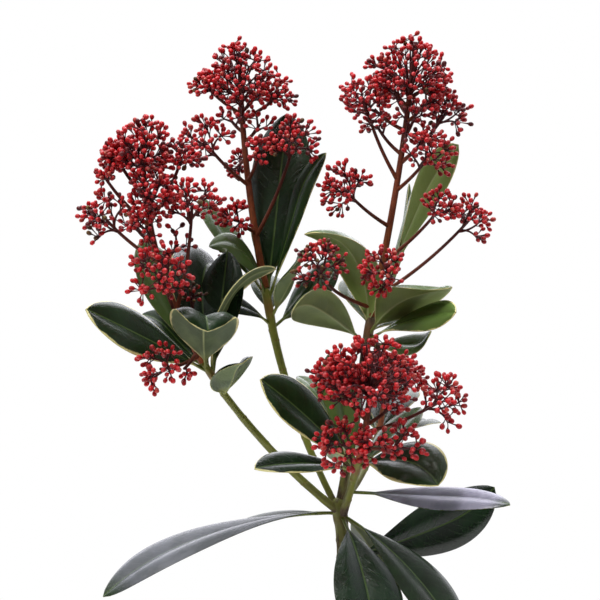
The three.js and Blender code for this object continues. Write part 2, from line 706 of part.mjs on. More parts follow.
function flowerHead(name, seed) {
  const roll = dice(seed);
  const { dome, sprays } = FLOWER_HEADS[name];
  const stalk = flowerStalk(name);
  const lowest = dome.at - DOME_FORK;
  const twigs = capTwigs(stalk, dome.at, { ...dome, power: DOME_POWER }, lowest, roll);
  for (const spray of sprays) {
    const branch = sprayCurve(stalk, spray);
    const cap = { width: spray.size, height: spray.size, count: spray.count, power: SPRAY_POWER };
    twigs.push(...capTwigs(branch, 1, cap, SPRAY_FORK, roll));
  }
  const groups = twigs.filter(({ tip }) => hasRoom(tip)).map(budTwig);
  return mainPiece(joined([...headLimbs(name), ...groups]));
}

// Assembly
const plant = new THREE.Group();

function place(name, geometry, material) {
  const mesh = new THREE.Mesh(geometry, material.clone());
  mesh.name = name;
  plant.add(mesh);
}

// Lathe shapes turn about Y, so they are stood up on Z.
place('pot', pot().rotateX(Math.PI / 2), clay);
place('compost', compost().rotateX(Math.PI / 2), soil);
place('trunk', geometryOf(trunk()), bark);

for (const [name, solid] of Object.entries(shoots())) {
  place(`shoot_${name}`, geometryOf(solid), bark);
}

// Limbs a gap thicker than they are, for leaves to be cut clear of
const grownShoots = SHOOT_ORDER.map((name) => {
  const [first, last] = SHOOTS[name].radii;
  return limb(shootCurve(name), tapered(first, last, GAP), SHOOT_SIDES, SHOOT_RINGS);
});
const grownLimbs = [trunk(GAP), ...grownShoots];

for (const name of Object.keys(BANDS)) {
  place(`leaves_${name}`, geometryOf(band(name, grownLimbs)), leafGreen);
}

for (const [name, { root, leaf }] of Object.entries(SINGLE_LEAVES)) {
  place(`leaf_${name}`, geometryOf(singleLeaf(root, leaf, grownLimbs)), leafGreen);
}

for (const name of SHOOT_ORDER) {
  const keepClear = [...grownLimbs, ...headLimbs(name, GAP)];
  place(`leaves_${name}_shoot`, geometryOf(tuft(name, keepClear)), leafGreen);
}

SHOOT_ORDER.forEach((name, i) => {
  place(`flowers_${name}`, geometryOf(flowerHead(name, FIRST_SEED + i)), budRed);
});

export default plant;
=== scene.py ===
import math

import bmesh
import bpy
import mathutils
import numpy as np
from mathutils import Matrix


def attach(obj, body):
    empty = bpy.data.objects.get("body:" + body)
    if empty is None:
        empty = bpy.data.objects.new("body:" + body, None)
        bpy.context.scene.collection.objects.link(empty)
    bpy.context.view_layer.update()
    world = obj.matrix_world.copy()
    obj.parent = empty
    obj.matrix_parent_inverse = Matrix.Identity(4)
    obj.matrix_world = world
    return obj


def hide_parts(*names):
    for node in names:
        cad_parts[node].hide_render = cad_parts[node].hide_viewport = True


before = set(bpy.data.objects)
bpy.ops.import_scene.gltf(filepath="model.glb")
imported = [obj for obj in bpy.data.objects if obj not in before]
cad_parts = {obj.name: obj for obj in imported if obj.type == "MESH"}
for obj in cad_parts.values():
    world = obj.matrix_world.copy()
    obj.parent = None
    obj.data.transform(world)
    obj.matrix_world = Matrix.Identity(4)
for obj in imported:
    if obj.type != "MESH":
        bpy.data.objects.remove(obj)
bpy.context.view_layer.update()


# Pot: red earthenware, thrown on a wheel and fired once, with a thicker collar at the rim. It is unglazed,
# so it is matt and chalky, darker where it stays damp, with pale lime bloom and fine turning rings.
# A millimetre and how near points are welded, in metres, and how far each shape keeps off the edges of its
# cell in the baked picture, as a share of the cell.
MM = 0.001
WELD = 2e-7
BAKE_INSET = 0.03
POT_HEIGHT = 115
POT_BASE_RADIUS = 46
POT_TOP_RADIUS = 65
POT_WALL = 6
POT_FLOOR = 8
RIM_HEIGHT = 24
RIM_STEP = 3.5
RIM_SLANT = 1.2
FOOT_RECESS = 2.2
FOOT_RING_WIDTH = 8
CORNER_REACH = 2.2
PROFILE_STEP = 1.6
POT_TURNS = 160
RING_DEPTH = 0.10
WOBBLE = 0.22
SKIN_INSET = 0.25
WALL_SLOPE = (POT_TOP_RADIUS - RIM_STEP - POT_BASE_RADIUS) / POT_HEIGHT


def rumple(*along, seed, waves=7, finest=3.0):
    """A smooth uneven value from about -1 to 1: the sum of sine waves whose directions, lengths and starts
    are drawn from the seed, over as many coordinates as are given."""
    draw = np.random.default_rng(seed)
    total = 0
    for _ in range(waves):
        way = draw.normal(size=len(along))
        way *= draw.uniform(1, finest) / np.linalg.norm(way)
        total = total + np.sin(sum(w * a for w, a in zip(way, along)) + draw.uniform(0, 2 * math.pi))
    return total / math.sqrt(waves * 2)


def smoothstep(value, low, high):
    """0 below low, 1 above high, and an even S-curve between them."""
    share = np.clip((value - low) / (high - low), 0, 1)
    return share * share * (3 - 2 * share)


def unit(ways):
    """Vectors of the same way, each one long."""
    return ways / np.linalg.norm(ways, axis=-1, keepdims=True)


def round_angles(count):
    """Angles in equal steps all the way round, in radians."""
    return np.arange(count) / count * 2 * math.pi


def atlas_cells(sheets):
    """Where each shape of each sheet lies in the baked picture: the picture is cut into one band for each
    sheet, as high as its share of the whole surface, and a band into equal cells with the shape's
    proportions. Gives a (count, 4) array of left, bottom, width and height for each sheet."""
    measures = []
    for sheet in sheets:
        wide, tall = (
            np.linalg.norm(np.diff(sheet["points"], axis=axis), axis=3).sum(axis=axis).max(axis=1).mean()
            for axis in (2, 1))
        measures.append((len(sheet["points"]), max(wide, 1e-3), max(tall, 1e-3)))
    whole = sum(count * wide * tall for count, wide, tall in measures)
    low, bands = 0.0, []
    for count, wide, tall in measures:
        high = count * wide * tall / whole
        columns = max(1, min(count, round(math.sqrt(count * tall / (high * wide)))))
        rows = math.ceil(count / columns)
        place = np.arange(count)
        bands.append(np.stack([place % columns / columns, low + place // columns * high / rows,
                               np.full(count, 1 / columns), np.full(count, high / rows)], axis=1))
        low += high
    return bands


def cell_corners(grid):
    """The values at the four corners of each cell of some grids, in order round the cell."""
    return np.stack([grid[:, :-1, :-1], grid[:, :-1, 1:], grid[:, 1:, 1:], grid[:, 1:, :-1]], axis=3)


def put(name, data):
    """A new object with that data, in the scene."""
    made = bpy.data.objects.new(name, data)
    bpy.context.scene.collection.objects.link(made)
    return made


def grid_object(name, sheets, finishes):
    """An object made of grid surfaces. A sheet holds points (count, rows, columns, 3) of count like shapes,
    whose columns run round the shape, and whose rows run along it so that columns cross rows is outwards.
    Its finish is the number of a finish for each face, and its marks are named values at each point.
    Rows that close to a point, and columns that close on the first, are welded."""
    corners, faces, finish_of, bake, marks = [], [], [], [], {}
    start = 0
    for sheet, cells in zip(sheets, atlas_cells(sheets)):
        points = sheet["points"]
        count, rows, columns, _ = points.shape
        corners.append(points.reshape(-1, 3))
        index = start + np.arange(count * rows * columns).reshape(count, rows, columns)
        quads = cell_corners(np.concatenate([index, index[:, :, :1]], axis=2))
        faces.append(quads.reshape(-1, 4))
        finish_of.append(np.broadcast_to(sheet.get("finish", 0), quads.shape[:3]).reshape(-1))
        across = BAKE_INSET + (1 - 2 * BAKE_INSET) * np.arange(columns + 1) / columns
        along = BAKE_INSET + (1 - 2 * BAKE_INSET) * np.arange(rows) / (rows - 1)
        left, bottom, wide, tall = (cells[:, i, None, None] for i in range(4))
        flat = np.broadcast_arrays(left + wide * across, bottom + tall * along[:, None])
        bake.append(cell_corners(np.stack(flat, axis=3)).reshape(-1, 2))
        for label, value in sheet.get("marks", {}).items():
            value = np.asarray(value, float)
            parts = (3,) if value.ndim == 4 else ()
            spread_out = np.broadcast_to(value, points.shape[:3] + parts)
            marks.setdefault(label, []).append(spread_out.reshape(-1, *parts))
        start += count * rows * columns
    faces = np.concatenate(faces)
    mesh = bpy.data.meshes.new(name)
    mesh.from_pydata(np.concatenate(corners) * MM, [], faces.tolist())
    mesh.polygons.foreach_set("material_index", np.concatenate(finish_of).astype(np.int32))
    mesh.polygons.foreach_set("use_smooth", np.ones(len(faces), bool))
    mesh.uv_layers.new(name="OFBake").data.foreach_set("uv", np.concatenate(bake).ravel())
    for label, values in marks.items():
        values = np.concatenate(values)
        kind, field = ("FLOAT_VECTOR", "vector") if values.ndim == 2 else ("FLOAT", "value")
        mesh.attributes.new(label, kind, "POINT").data.foreach_set(field, values.ravel())
    for finish in finishes:
        mesh.materials.append(finish)
    welded = bmesh.new()
    welded.from_mesh(mesh)
    bmesh.ops.remove_doubles(welded, verts=welded.verts, dist=WELD)
    welded.to_mesh(mesh)
    welded.free()
    return put(name, mesh)


def surface_piece(name, sheets, finishes, slot, *stands_for):
    """A piece of the part made of grid surfaces, attached to the root body, with the CAD nodes that it stands
    for hidden.
    """
    piece = grid_object(name, sheets, finishes)
    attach(piece, "root")
    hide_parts(*stands_for)


def turned(profile, turns, uneven=0):
    """A shape turned on a wheel: radius and height at each row, carried round the Z axis. uneven, an array
    over rows and turns, is added to the radius."""
    radius, height = np.asarray(profile, float).T
    angle = round_angles(turns)
    out = radius[:, None] + uneven + np.zeros(turns)
    return np.stack([out * np.cos(angle), out * np.sin(angle),
                     np.broadcast_to(height[:, None], out.shape)], axis=2)[None]


def rounded(outline, reach, step):
    """An outline of straight runs with each inner corner rounded off: a corner becomes the quadratic curve
    between the points at reach from it, and straight runs are cut into parts about a step long."""
    outline = np.asarray(outline, float)
    rows = [outline[:1]]
    bend = np.linspace(0, 1, 6)[:, None]
    for before, corner, after in zip(outline[:-2], outline[1:-1], outline[2:]):
        first, last = (corner + unit(side) * min(reach, np.linalg.norm(side) / 2)
                       for side in (before - corner, after - corner))
        rows.append((1 - bend) ** 2 * first + 2 * bend * (1 - bend) * corner + bend ** 2 * last)
    path = np.concatenate(rows + [outline[-1:]])
    parts = []
    for first, last in zip(path[:-1], path[1:]):
        count = max(1, int(np.linalg.norm(last - first) / step))
        parts.append(first + (last - first) * (np.arange(count) / count)[:, None])
    return np.concatenate(parts + [path[-1:]])


def node(tree, kind, inputs=None, **settings):
    """A node with its settings, and its inputs given as values or linked from sockets."""
    made = tree.nodes.new(kind)
    for key, value in settings.items():
        setattr(made, key, value)
    for key, value in (inputs or {}).items():
        if isinstance(value, bpy.types.NodeSocket):
            tree.links.new(value, made.inputs[key])
        else:
            made.inputs[key].default_value = value
    return made


def object_place(tree):
    """The place on the object, in metres."""
    return node(tree, "ShaderNodeTexCoord").outputs["Object"]


def tint(colour):
    """A hex colour as Blender's linear red, green, blue and alpha. A socket is left as it is."""
    if isinstance(colour, bpy.types.NodeSocket):
        return colour
    parts = [int(colour[i:i + 2], 16) / 255 for i in (0, 2, 4)]
    return tuple(p / 12.92 if p <= 0.04045 else ((p + 0.055) / 1.055) ** 2.4 for p in parts) + (1.0,)


def between(share, first, last):
    """The colour that is first at share 0 and last at share 1."""
    return node(share.id_data, "ShaderNodeMix", {0: share, 6: tint(first), 7: tint(last)},
                data_type="RGBA").outputs[2]


def laid_over(colour, *layers):
    """A colour with others laid over it one after another, each by its own share."""
    for share, over in layers:
        colour = between(share, colour, over)
    return colour


def maths(how, *values):
    """A Math node on one, two or three values, of which the first is a socket."""
    return node(values[0].id_data, "ShaderNodeMath", dict(enumerate(values)), operation=how).outputs[0]


def times(value, factor, more=None):
    """The value times a factor, with more added if it is given."""
    return maths("MULTIPLY", value, factor) if more is None else maths("MULTIPLY_ADD", value, factor, more)


def spread(value, low, high, first=0.0, last=1.0):
    """first where value is below low, last where it is above high, and an S-curve between them."""
    return node(value.id_data, "ShaderNodeMapRange", {0: value, 1: low, 2: high, 3: first, 4: last},
                interpolation_type="SMOOTHSTEP").outputs[0]


def noise(vector, scale, detail, roughness=0.5):
    """An uneven value that changes with the vector, finer with a larger scale."""
    return node(vector.id_data, "ShaderNodeTexNoise", {
        "Vector": vector, "Scale": scale, "Detail": detail, "Roughness": roughness}).outputs[0]


def effect(name, inputs, outputs):
    """A shader node group, with its own input and output nodes. Its inputs are named with their values, and
    one without a value is a vector. Its outputs are numbers."""
    tree = bpy.data.node_groups.new(name, "ShaderNodeTree")
    for label, value in inputs.items():
        kind = "NodeSocketVector" if value is None else "NodeSocketFloat"
        socket = tree.interface.new_socket(label, in_out="INPUT", socket_type=kind)
        if value is not None:
            socket.default_value = value
    for label in outputs:
        tree.interface.new_socket(label, in_out="OUTPUT", socket_type="NodeSocketFloat")
    return tree, tree.nodes.new("NodeGroupInput").outputs, tree.nodes.new("NodeGroupOutput").inputs


# Blotches: uneven patches of a size, as a mask that is sharper or softer, and a fine grain with them.
blotches, given, gives = effect(
    "Blotches", {"Vector": None, "Patch": 8.0, "Low": 0.4, "High": 0.6, "Grain": 60.0}, ["Mask", "Fine"])
patch_mask = spread(noise(given["Vector"], given["Patch"], 5.0, 0.55), given["Low"], given["High"])
blotches.links.new(patch_mask, gives["Mask"])
blotches.links.new(noise(given["Vector"], given["Grain"], 4.0, 0.65), gives["Fine"])


def patches(vector, patch, low, high, grain):
    """The Blotches effect in a finish: its mask and its grain."""
    placed = node(vector.id_data, "ShaderNodeGroup", {
        "Vector": vector, "Patch": patch, "Low": low, "High": high, "Grain": grain}, node_tree=blotches)
    return placed.outputs["Mask"], placed.outputs["Fine"]


def new_finish(name, shine):
    """A finish that reflects as strongly as shine says, and its node tree."""
    made = bpy.data.materials.new(name)
    made.use_nodes = True
    made.node_tree.nodes["Principled BSDF"].inputs["Specular IOR Level"].default_value = shine
    return made, made.node_tree


def coat(made, colour, roughness, height=None, strength=1.0, depth=MM):
    """Gives a finish its colour and its roughness, and a bump from a map of its height."""
    tree = made.node_tree
    shader = tree.nodes["Principled BSDF"]
    tree.links.new(colour, shader.inputs["Base Color"])
    tree.links.new(roughness, shader.inputs["Roughness"])
    if height is not None:
        bump = node(tree, "ShaderNodeBump", {"Height": height, "Strength": strength, "Distance": depth})
        tree.links.new(bump.outputs[0], shader.inputs["Normal"])


def wall_at(height):
    """The radius of the pot's outside at a height: even growth from its base to its top."""
    return POT_BASE_RADIUS + WALL_SLOPE * height


rim_foot = POT_HEIGHT - RIM_HEIGHT
pot_profile = rounded([
    (0, FOOT_RECESS), (wall_at(0) - FOOT_RING_WIDTH - 1, FOOT_RECESS), (wall_at(0) - FOOT_RING_WIDTH, 0),
    (wall_at(0), 0), (wall_at(rim_foot), rim_foot), (wall_at(rim_foot) + RIM_STEP, rim_foot + RIM_SLANT),
    (POT_TOP_RADIUS, POT_HEIGHT), (wall_at(POT_HEIGHT) - POT_WALL, POT_HEIGHT),
    (wall_at(POT_FLOOR) - POT_WALL, POT_FLOOR), (0, POT_FLOOR),
], CORNER_REACH, PROFILE_STEP)
turn = round_angles(POT_TURNS)[None]
pot_rows = np.cumsum(np.r_[0, np.linalg.norm(np.diff(pot_profile, axis=0), axis=1)])[:, None]
turning_rings = rumple(pot_rows * 0.9, 0 * turn, seed=3, waves=9, finest=2.4)
out_of_round = rumple(np.cos(turn) * 1.6, np.sin(turn) * 1.6, pot_rows * 0.02, seed=4)
pot_uneven = RING_DEPTH * turning_rings + WOBBLE * out_of_round - SKIN_INSET
pot_uneven = pot_uneven * smoothstep(pot_profile[:, :1], 6, 12)

clay, tree = new_finish("terracotta", 0.3)
place = object_place(tree)
damp, grit = patches(place, 16.0, 0.42, 0.62, 900.0)
# Patches of pale lime bloom on the clay, and a fine speck with them.
bloom_and_painted_sheen, speck = patches(place, 34.0, 0.55, 0.72, 420.0)
height = node(tree, "ShaderNodeSeparateXYZ", {0: place}).outputs[2]
foot_damp = times(spread(height, 0.0, 0.05, 0.75, 0.0), damp)
collar = times(spread(height, 0.083, 0.095), spread(height, 0.113, 0.1155, 1.0, 0.3))
limed = times(times(bloom_and_painted_sheen, times(collar, 0.4, 0.24)), spread(speck, 0.3, 0.6))
baked_clay = laid_over(
    between(times(damp, 0.55), "a86144", "8f4c33"),
    (spread(grit, 0.35, 0.7, 0.0, 0.45), "c08262"),
    (times(foot_damp, 0.7), "7a4128"),
    (spread(speck, 0.62, 0.74, 0.0, 0.5), "6e3a26"),
    (limed, "ddc6b2"))
rings = node(tree, "ShaderNodeTexWave", {"Vector": place, "Scale": 160.0, "Distortion": 1.2, "Detail": 3.0,
                                         "Detail Scale": 0.6}, bands_direction="Z").outputs[1]
coat(clay, baked_clay, spread(maths("ADD", foot_damp, grit), 0.3, 1.4, 0.93, 0.7),
     maths("ADD", times(rings, 0.35), grit), 0.8, 0.5 * MM)

surface_piece("clay_pot", [{"points": turned(pot_profile, POT_TURNS, pot_uneven)}], [clay], "pot", "pot")


# Compost: dark, moist and crumbly, with bits of composted bark and a little pale grit. It fills the pot to
# a little under the rim and is heaped slightly round the trunk.
COMPOST_TOP = 101
COMPOST_EDGE_DROP = 1.8
HEAP = 1.1
HEAP_RADIUS = 11
GAP = 0.3
COMPOST_RINGS = 110
COMPOST_TURNS = 200
BARK_BITS = 460
GRIT_GRAINS = 60


def compost_lie(x, y):
    """The height of the compost's top: level in the middle, sunk towards the wall, with lumps on it that are
    the sum of coarse and fine uneven waves, kept 1.5 mm over or under it."""
    out = np.hypot(x, y)
    level = (COMPOST_TOP - COMPOST_EDGE_DROP * smoothstep(out, 16, 56)
             + HEAP * np.exp(-(out / HEAP_RADIUS) ** 2))
    lumps = (0.55 * rumple(x * 0.22, y * 0.22, seed=21) + 0.42 * rumple(x * 0.7, y * 0.7, seed=22, waves=11)
             + 0.26 * rumple(x * 1.8, y * 1.8, seed=23, waves=13))
    return level + np.clip(lumps, -1.5, 1.3)


inner_edge = wall_at(COMPOST_TOP) - POT_WALL - GAP / 2
rings_out = inner_edge * np.sin(np.linspace(math.pi / 2, 0, COMPOST_RINGS))[:, None] ** 0.9
turn = round_angles(COMPOST_TURNS)
top_x, top_y = rings_out * np.cos(turn), rings_out * np.sin(turn)
top = np.stack([top_x, top_y, compost_lie(top_x, top_y)], axis=2)
below = turned([(0, POT_FLOOR + GAP), (wall_at(POT_FLOOR) - POT_WALL - GAP, POT_FLOOR + GAP),
                (inner_edge - 0.2, COMPOST_TOP - 5)], COMPOST_TURNS)[0]
compost_bed = np.concatenate([below, top])[None]


def pebbles(centres, sizes, seed, rows=5, columns=8):
    """Rough pebbles: a ball of rows and columns about each centre, stretched to its three sizes, turned by
    drawn angles about Z and lean, with each point pushed in or out by a drawn share."""
    draw = np.random.default_rng(seed)
    count = len(centres)
    down = np.linspace(math.pi, 0, rows)[:, None]
    turn = round_angles(columns)
    rough = 1 + draw.uniform(-0.16, 0.16, (count, rows, columns))
    rough[:, 0], rough[:, -1] = 1, 1
    ball = np.stack([np.sin(down) * np.cos(turn) * rough, np.sin(down) * np.sin(turn) * rough,
                     np.cos(down) * rough], axis=3) * sizes[:, None, None, :]
    spin, lean = draw.uniform(0, 2 * math.pi, count), draw.uniform(-0.5, 0.5, count)
    c, s, cl, sl = np.cos(spin), np.sin(spin), np.cos(lean), np.sin(lean)
    turned_by = np.moveaxis(np.array([[c, -s * cl, s * sl], [s, c * cl, -c * sl], [0 * c, sl, cl]]), 2, 0)
    return np.einsum("nij,nrcj->nrci", turned_by, ball) + centres[:, None, None]


def strewn(count, nearest, farthest, draw):
    """Places strewn evenly over the compost: drawn angles, and distances whose squares are drawn evenly."""
    out = inner_edge * np.sqrt(draw.uniform(nearest, farthest, count))
    way = draw.uniform(0, 2 * math.pi, count)
    return out * np.cos(way), out * np.sin(way)


draw = np.random.default_rng(31)
x, y = strewn(BARK_BITS, 0.012, 0.94, draw)
bit_sizes = np.stack([draw.uniform(0.9, 3.2, BARK_BITS), draw.uniform(0.5, 1.5, BARK_BITS),
                      draw.uniform(0.3, 0.7, BARK_BITS)], axis=1)
bits = pebbles(np.stack([x, y, compost_lie(x, y) + 0.15], axis=1), bit_sizes, 32)
x, y = strewn(GRIT_GRAINS, 0.03, 0.9, draw)
grain_sizes = draw.uniform(0.45, 1.1, (GRIT_GRAINS, 1)) * np.array([[1, 0.85, 0.7]])
grains = pebbles(np.stack([x, y, compost_lie(x, y) + 0.1], axis=1), grain_sizes, 33)

loam, tree = new_finish("moist_compost", 0.35)
wet, crumb = patches(object_place(tree), 60.0, 0.4, 0.6, 1300.0)
earth = laid_over(between(wet, "33251b", "1c140e"), (spread(crumb, 0.45, 0.75, 0.0, 0.8), "5a4430"))
coat(loam, earth, spread(wet, 0.0, 1.0, 0.96, 0.72), crumb, 0.9, 1.2 * MM)

bark_bit, tree = new_finish("bark_bits", 0.3)
dark, fibre = patches(object_place(tree), 90.0, 0.4, 0.62, 1500.0)
coat(bark_bit, between(dark, "4d3422", "24170f"), spread(fibre, 0.3, 0.7, 0.75, 0.95), fibre, 0.7, 0.6 * MM)

pale_grit, tree = new_finish("pale_grit", 0.4)
stained, pore = patches(object_place(tree), 200.0, 0.4, 0.65, 2200.0)
coat(pale_grit, between(stained, "c9c2b4", "8f826c"), spread(pore, 0.3, 0.7, 0.7, 0.9), pore, 0.5, 0.4 * MM)

surface_piece("compost_bed", [
    {"points": compost_bed, "finish": 0}, {"points": bits, "finish": 1}, {"points": grains, "finish": 2}],
    [loam, bark_bit, pale_grit], "compost", "compost")


# Trunk and shoots: live wood. The trunk has thin grey-brown bark with shallow furrows and swells at the
# scars of old leaves. The shoots leave its head and are still green, with pale corky specks and scars.
TRUNK_POINTS = [[0, 0, 101.3], [1, 0.4, 130], [0.6, 0.2, 165], [-0.6, 0, 187], [-3.2, 0, 204.4]]
TRUNK_RADIUS = 4.8
TRUNK_NECK_RADIUS = 2.9
TRUNK_FLARE = 4.2
TRUNK_HEAD_SWELL = 0.9
TRUNK_ROWS = 240
TRUNK_SIDES = 64
FURROW_DEPTH = 0.5
# Old leaves' scars on the trunk: height, half the height of the swelling, and how far it stands out.
TRUNK_SCARS = [(141.5, 1.5, 0.8), (152, 1.1, 0.35), (163, 1.1, 0.3), (173.6, 1.4, 0.55), (183, 1.1, 0.35),
               (194, 2.6, 0.7)]
SHOOT_ORDER = ["right", "left", "front", "middle", "back"]
# Root, azimuth, rise, length and upward bend, then the radius at the root and at the tip.
SHOOTS = {
    "left": ((-2.8, -1, 197.7), 199, 39, 85.5, 14, (2.1, 1.75)),
    "middle": ((-4.6, 1, 201.4), 157, 60.5, 92, 16, (1.6, 2.1)),
    "right": ((-1.3, 1, 202.9), 22, 79, 78, 2, (2.45, 2.3)),
    "front": ((-0.3, -2, 196.9), 290, 51, 23.5, 6, (2.1, 1.95)),
    "back": ((-1.3, 2, 201.2), 67, 11, 50.5, 26, (1.8, 1.6)),
}
# The leafy stem on the tip of each shoot: azimuth, rise and length.
TUFT_STEMS = {"left": (201, 56, 20.3), "middle": (144, 77, 22.7), "right": (38, 78, 15.8),
              "front": (299, 62, 12.3), "back": (61, 55, 11.9)}
# How brown each shoot's bark is, from 0 green to 1 brown, at its root and at its tip.
BROWNNESS = {"left": (0.25, 0.05), "middle": (0.2, 0.1), "right": (0.35, 0.9), "front": (0.4, 0.1),
             "back": (0.45, 0.3)}
SHOOT_SIDES = 32
SHOOT_COLLAR = 0.25
SCAR_SPACING = (13, 17)
SCAR_SWELL = 0.62
SCAR_HEIGHT = 0.32
SHOOT_UNEVEN = 0.07


def heading(azimuth, rise):
    """The unit vector at an azimuth from +X towards +Y and a rise from level, both in degrees."""
    turn, lift = np.radians(azimuth), np.radians(rise)
    return np.stack(np.broadcast_arrays(np.cos(lift) * np.cos(turn), np.cos(lift) * np.sin(turn),
                                        np.sin(lift)), axis=-1)


def arc(start, azimuth, rise, length, bend=0, hook=0, swing=0, steps=24):
    """A growing line: equal steps from its start, whose rise goes up evenly by bend, and by hook over the
    last part, while its azimuth goes round by swing."""
    share = (np.arange(steps) + 0.5) / steps
    late = smoothstep(share, 0.6, 1)
    step = heading(azimuth + swing * share, rise + bend * share + hook * late) * length / steps
    return np.concatenate([[start], start + np.cumsum(step, axis=0)])


def smooth_line(points, count):
    """A smooth curve through a few points: each span is the cubic whose slopes at both ends are half the
    step between the points on each side of it."""
    points = np.asarray(points, float)
    ends = np.concatenate([[2 * points[0] - points[1]], points, [2 * points[-1] - points[-2]]])
    place = np.linspace(0, len(points) - 1, count)
    span = np.minimum(place.astype(int), len(points) - 2)
    u = (place - span)[:, None]
    a, b, c, d = ends[span], ends[span + 1], ends[span + 2], ends[span + 3]
    return 0.5 * (2 * b + (c - a) * u + (2 * a - 5 * b + 4 * c - d) * u ** 2
                  + (3 * b - a - 3 * c + d) * u ** 3)


def capped(values):
    """Values along limbs with the first and last given again, for the rings that close the ends."""
    return np.concatenate([values[:, :1], values, values[:, -1:]], axis=1)


def tubes(paths, radii, sides):
    """Round limbs: at each row of a path a ring of that radius stands square to it. The ring's first side is
    the part of a fixed axis, the one that the limb lies least along, that is square to the path. A ring of
    no radius closes each end. Gives the points, and for bark the place round and along each limb."""
    paths, radii = np.asarray(paths, float), np.asarray(radii, float)
    tangent = unit(np.gradient(paths, axis=1))
    chord = np.abs(paths[:, -1] - paths[:, 0])
    axis = np.eye(3)[chord.argmin(axis=1)][:, None]
    normal = unit(axis - (axis * tangent).sum(axis=2, keepdims=True) * tangent)
    binormal = np.cross(tangent, normal)
    turn = round_angles(sides)
    ring = normal[:, :, None] * np.cos(turn)[:, None] + binormal[:, :, None] * np.sin(turn)[:, None]
    reach = radii if radii.ndim == 3 else radii[:, :, None]
    points = paths[:, :, None] + ring * reach[..., None]
    step = np.linalg.norm(np.diff(paths, axis=1), axis=2)
    along = np.concatenate([np.zeros((len(paths), 1)), np.cumsum(step, axis=1)], axis=1)[:, :, None]
    grown = np.stack(np.broadcast_arrays(reach * np.cos(turn), reach * np.sin(turn), along), axis=3)
    first = np.broadcast_to(paths[:, :1, None], points[:, :1].shape)
    last = np.broadcast_to(paths[:, -1:, None], points[:, -1:].shape)
    return np.concatenate([first, points, last], axis=1), capped(grown)


trunk_line = smooth_line(TRUNK_POINTS, TRUNK_ROWS)
trunk_share = np.linspace(0, 1, TRUNK_ROWS)
rounding = np.maximum(0, (trunk_share - 0.95) / 0.05)
trunk_radius = (TRUNK_RADIUS + (TRUNK_NECK_RADIUS - TRUNK_RADIUS) * trunk_share
                + TRUNK_FLARE * np.maximum(0, 1 - trunk_share / 0.14) ** 2
                + TRUNK_HEAD_SWELL * smoothstep(trunk_share, 0.84, 0.93))
trunk_radius = (trunk_radius * np.sqrt(np.maximum(0.05, 1 - rounding ** 2)))[:, None]
share, turn = trunk_share[:, None], round_angles(TRUNK_SIDES)[None]
buttress = 1 + 0.16 * np.cos(3 * turn + 0.7) + 0.1 * np.cos(5 * turn + 2)
fluted = trunk_radius * (1 + np.exp(-share / 0.07) * (buttress - 1))
furrow = np.abs(rumple(np.cos(turn) * 4.2, np.sin(turn) * 4.2, share * 9, seed=41, waves=9, finest=2.6))
furrowed = FURROW_DEPTH * np.minimum(furrow, 0.7) * (1 - 0.55 * share)
swollen = sum(swell * np.exp(-((trunk_line[:, 2] - height) / wide) ** 2)
              for height, wide, swell in TRUNK_SCARS)
trunk_reach = fluted - furrowed + swollen[:, None] * (0.8 + 0.2 * np.cos(turn * 2 + 1)) + GAP / 2
trunk_path = trunk_line.copy()
trunk_path[:, 2] -= 2.2 * np.maximum(0, 1 - trunk_share / 0.03)


def mark(tree, name, kind="Fac"):
    """A mark that a piece's mesh holds at each point."""
    return node(tree, "ShaderNodeAttribute", attribute_name=name).outputs[kind]


def drawn_out(grown, along):
    """A place round and along a limb with its length scaled, so that what is read there is drawn out."""
    return node(grown.id_data, "ShaderNodeMapping", {"Vector": grown, "Scale": (1.0, 1.0, along)}).outputs[0]


# Bark: brown and furrowed when old, green and smooth when young, with pale specks and ringed scars.
bark, tree = new_finish("bark", 0.4)
grown = mark(tree, "grown", "Vector")
aged, cork = patches(drawn_out(grown, 0.28), 0.35, 0.36, 0.62, 1.6)
streak, weave = patches(drawn_out(grown, 0.28), 0.9, 0.4, 0.65, 4.0)
age = spread(maths("ADD", mark(tree, "brown"), times(aged, 0.3)), 0.3, 0.95)
green_wood = laid_over(
    between(times(streak, 0.5), "7b8032", "656b28"), (spread(weave, 0.45, 0.75, 0.0, 0.25), "827e3c"))
old_wood = laid_over(between(aged, "6a5a44", "4a3b2c"), (spread(cork, 0.5, 0.72, 0.0, 0.6), "8f8571"))
specks = node(tree, "ShaderNodeTexVoronoi", {"Vector": drawn_out(grown, 0.45), "Scale": 0.62})
corky = spread(specks.outputs["Distance"], 0.10, 0.20, 0.35, 0.0)
wood = laid_over(
    between(age, green_wood, old_wood),
    (corky, "a98f62"),
    (spread(mark(tree, "scar"), 0.2, 0.9, 0.0, 0.75), "7d5330"))
coat(bark, wood, spread(age, 0.0, 1.0, 0.46, 0.86),
     maths("ADD", times(cork, times(age, 1.3, 0.25)), times(corky, 0.5)), 0.7, 0.5 * MM)


def wood_piece(name, paths, radii, sides, brown, scar):
    """A limb of wood, with how brown it is and how scarred it is at each of its rows, or at each point."""
    points, grown = tubes(paths[None], radii[None], sides)
    surface_piece(name + "_wood", [{"points": points, "marks": {
        "grown": grown, "brown": capped(brown[None])[:, :, None], "scar": capped(scar[None])}}],
        [bark], "bark", name)


trunk_brown = 1.15 - 0.75 * smoothstep(trunk_line[:, 2], 150, 199)
wood_piece("trunk", trunk_path, trunk_reach, TRUNK_SIDES, trunk_brown, np.clip(swollen, 0, 1)[:, None] * 0.6)

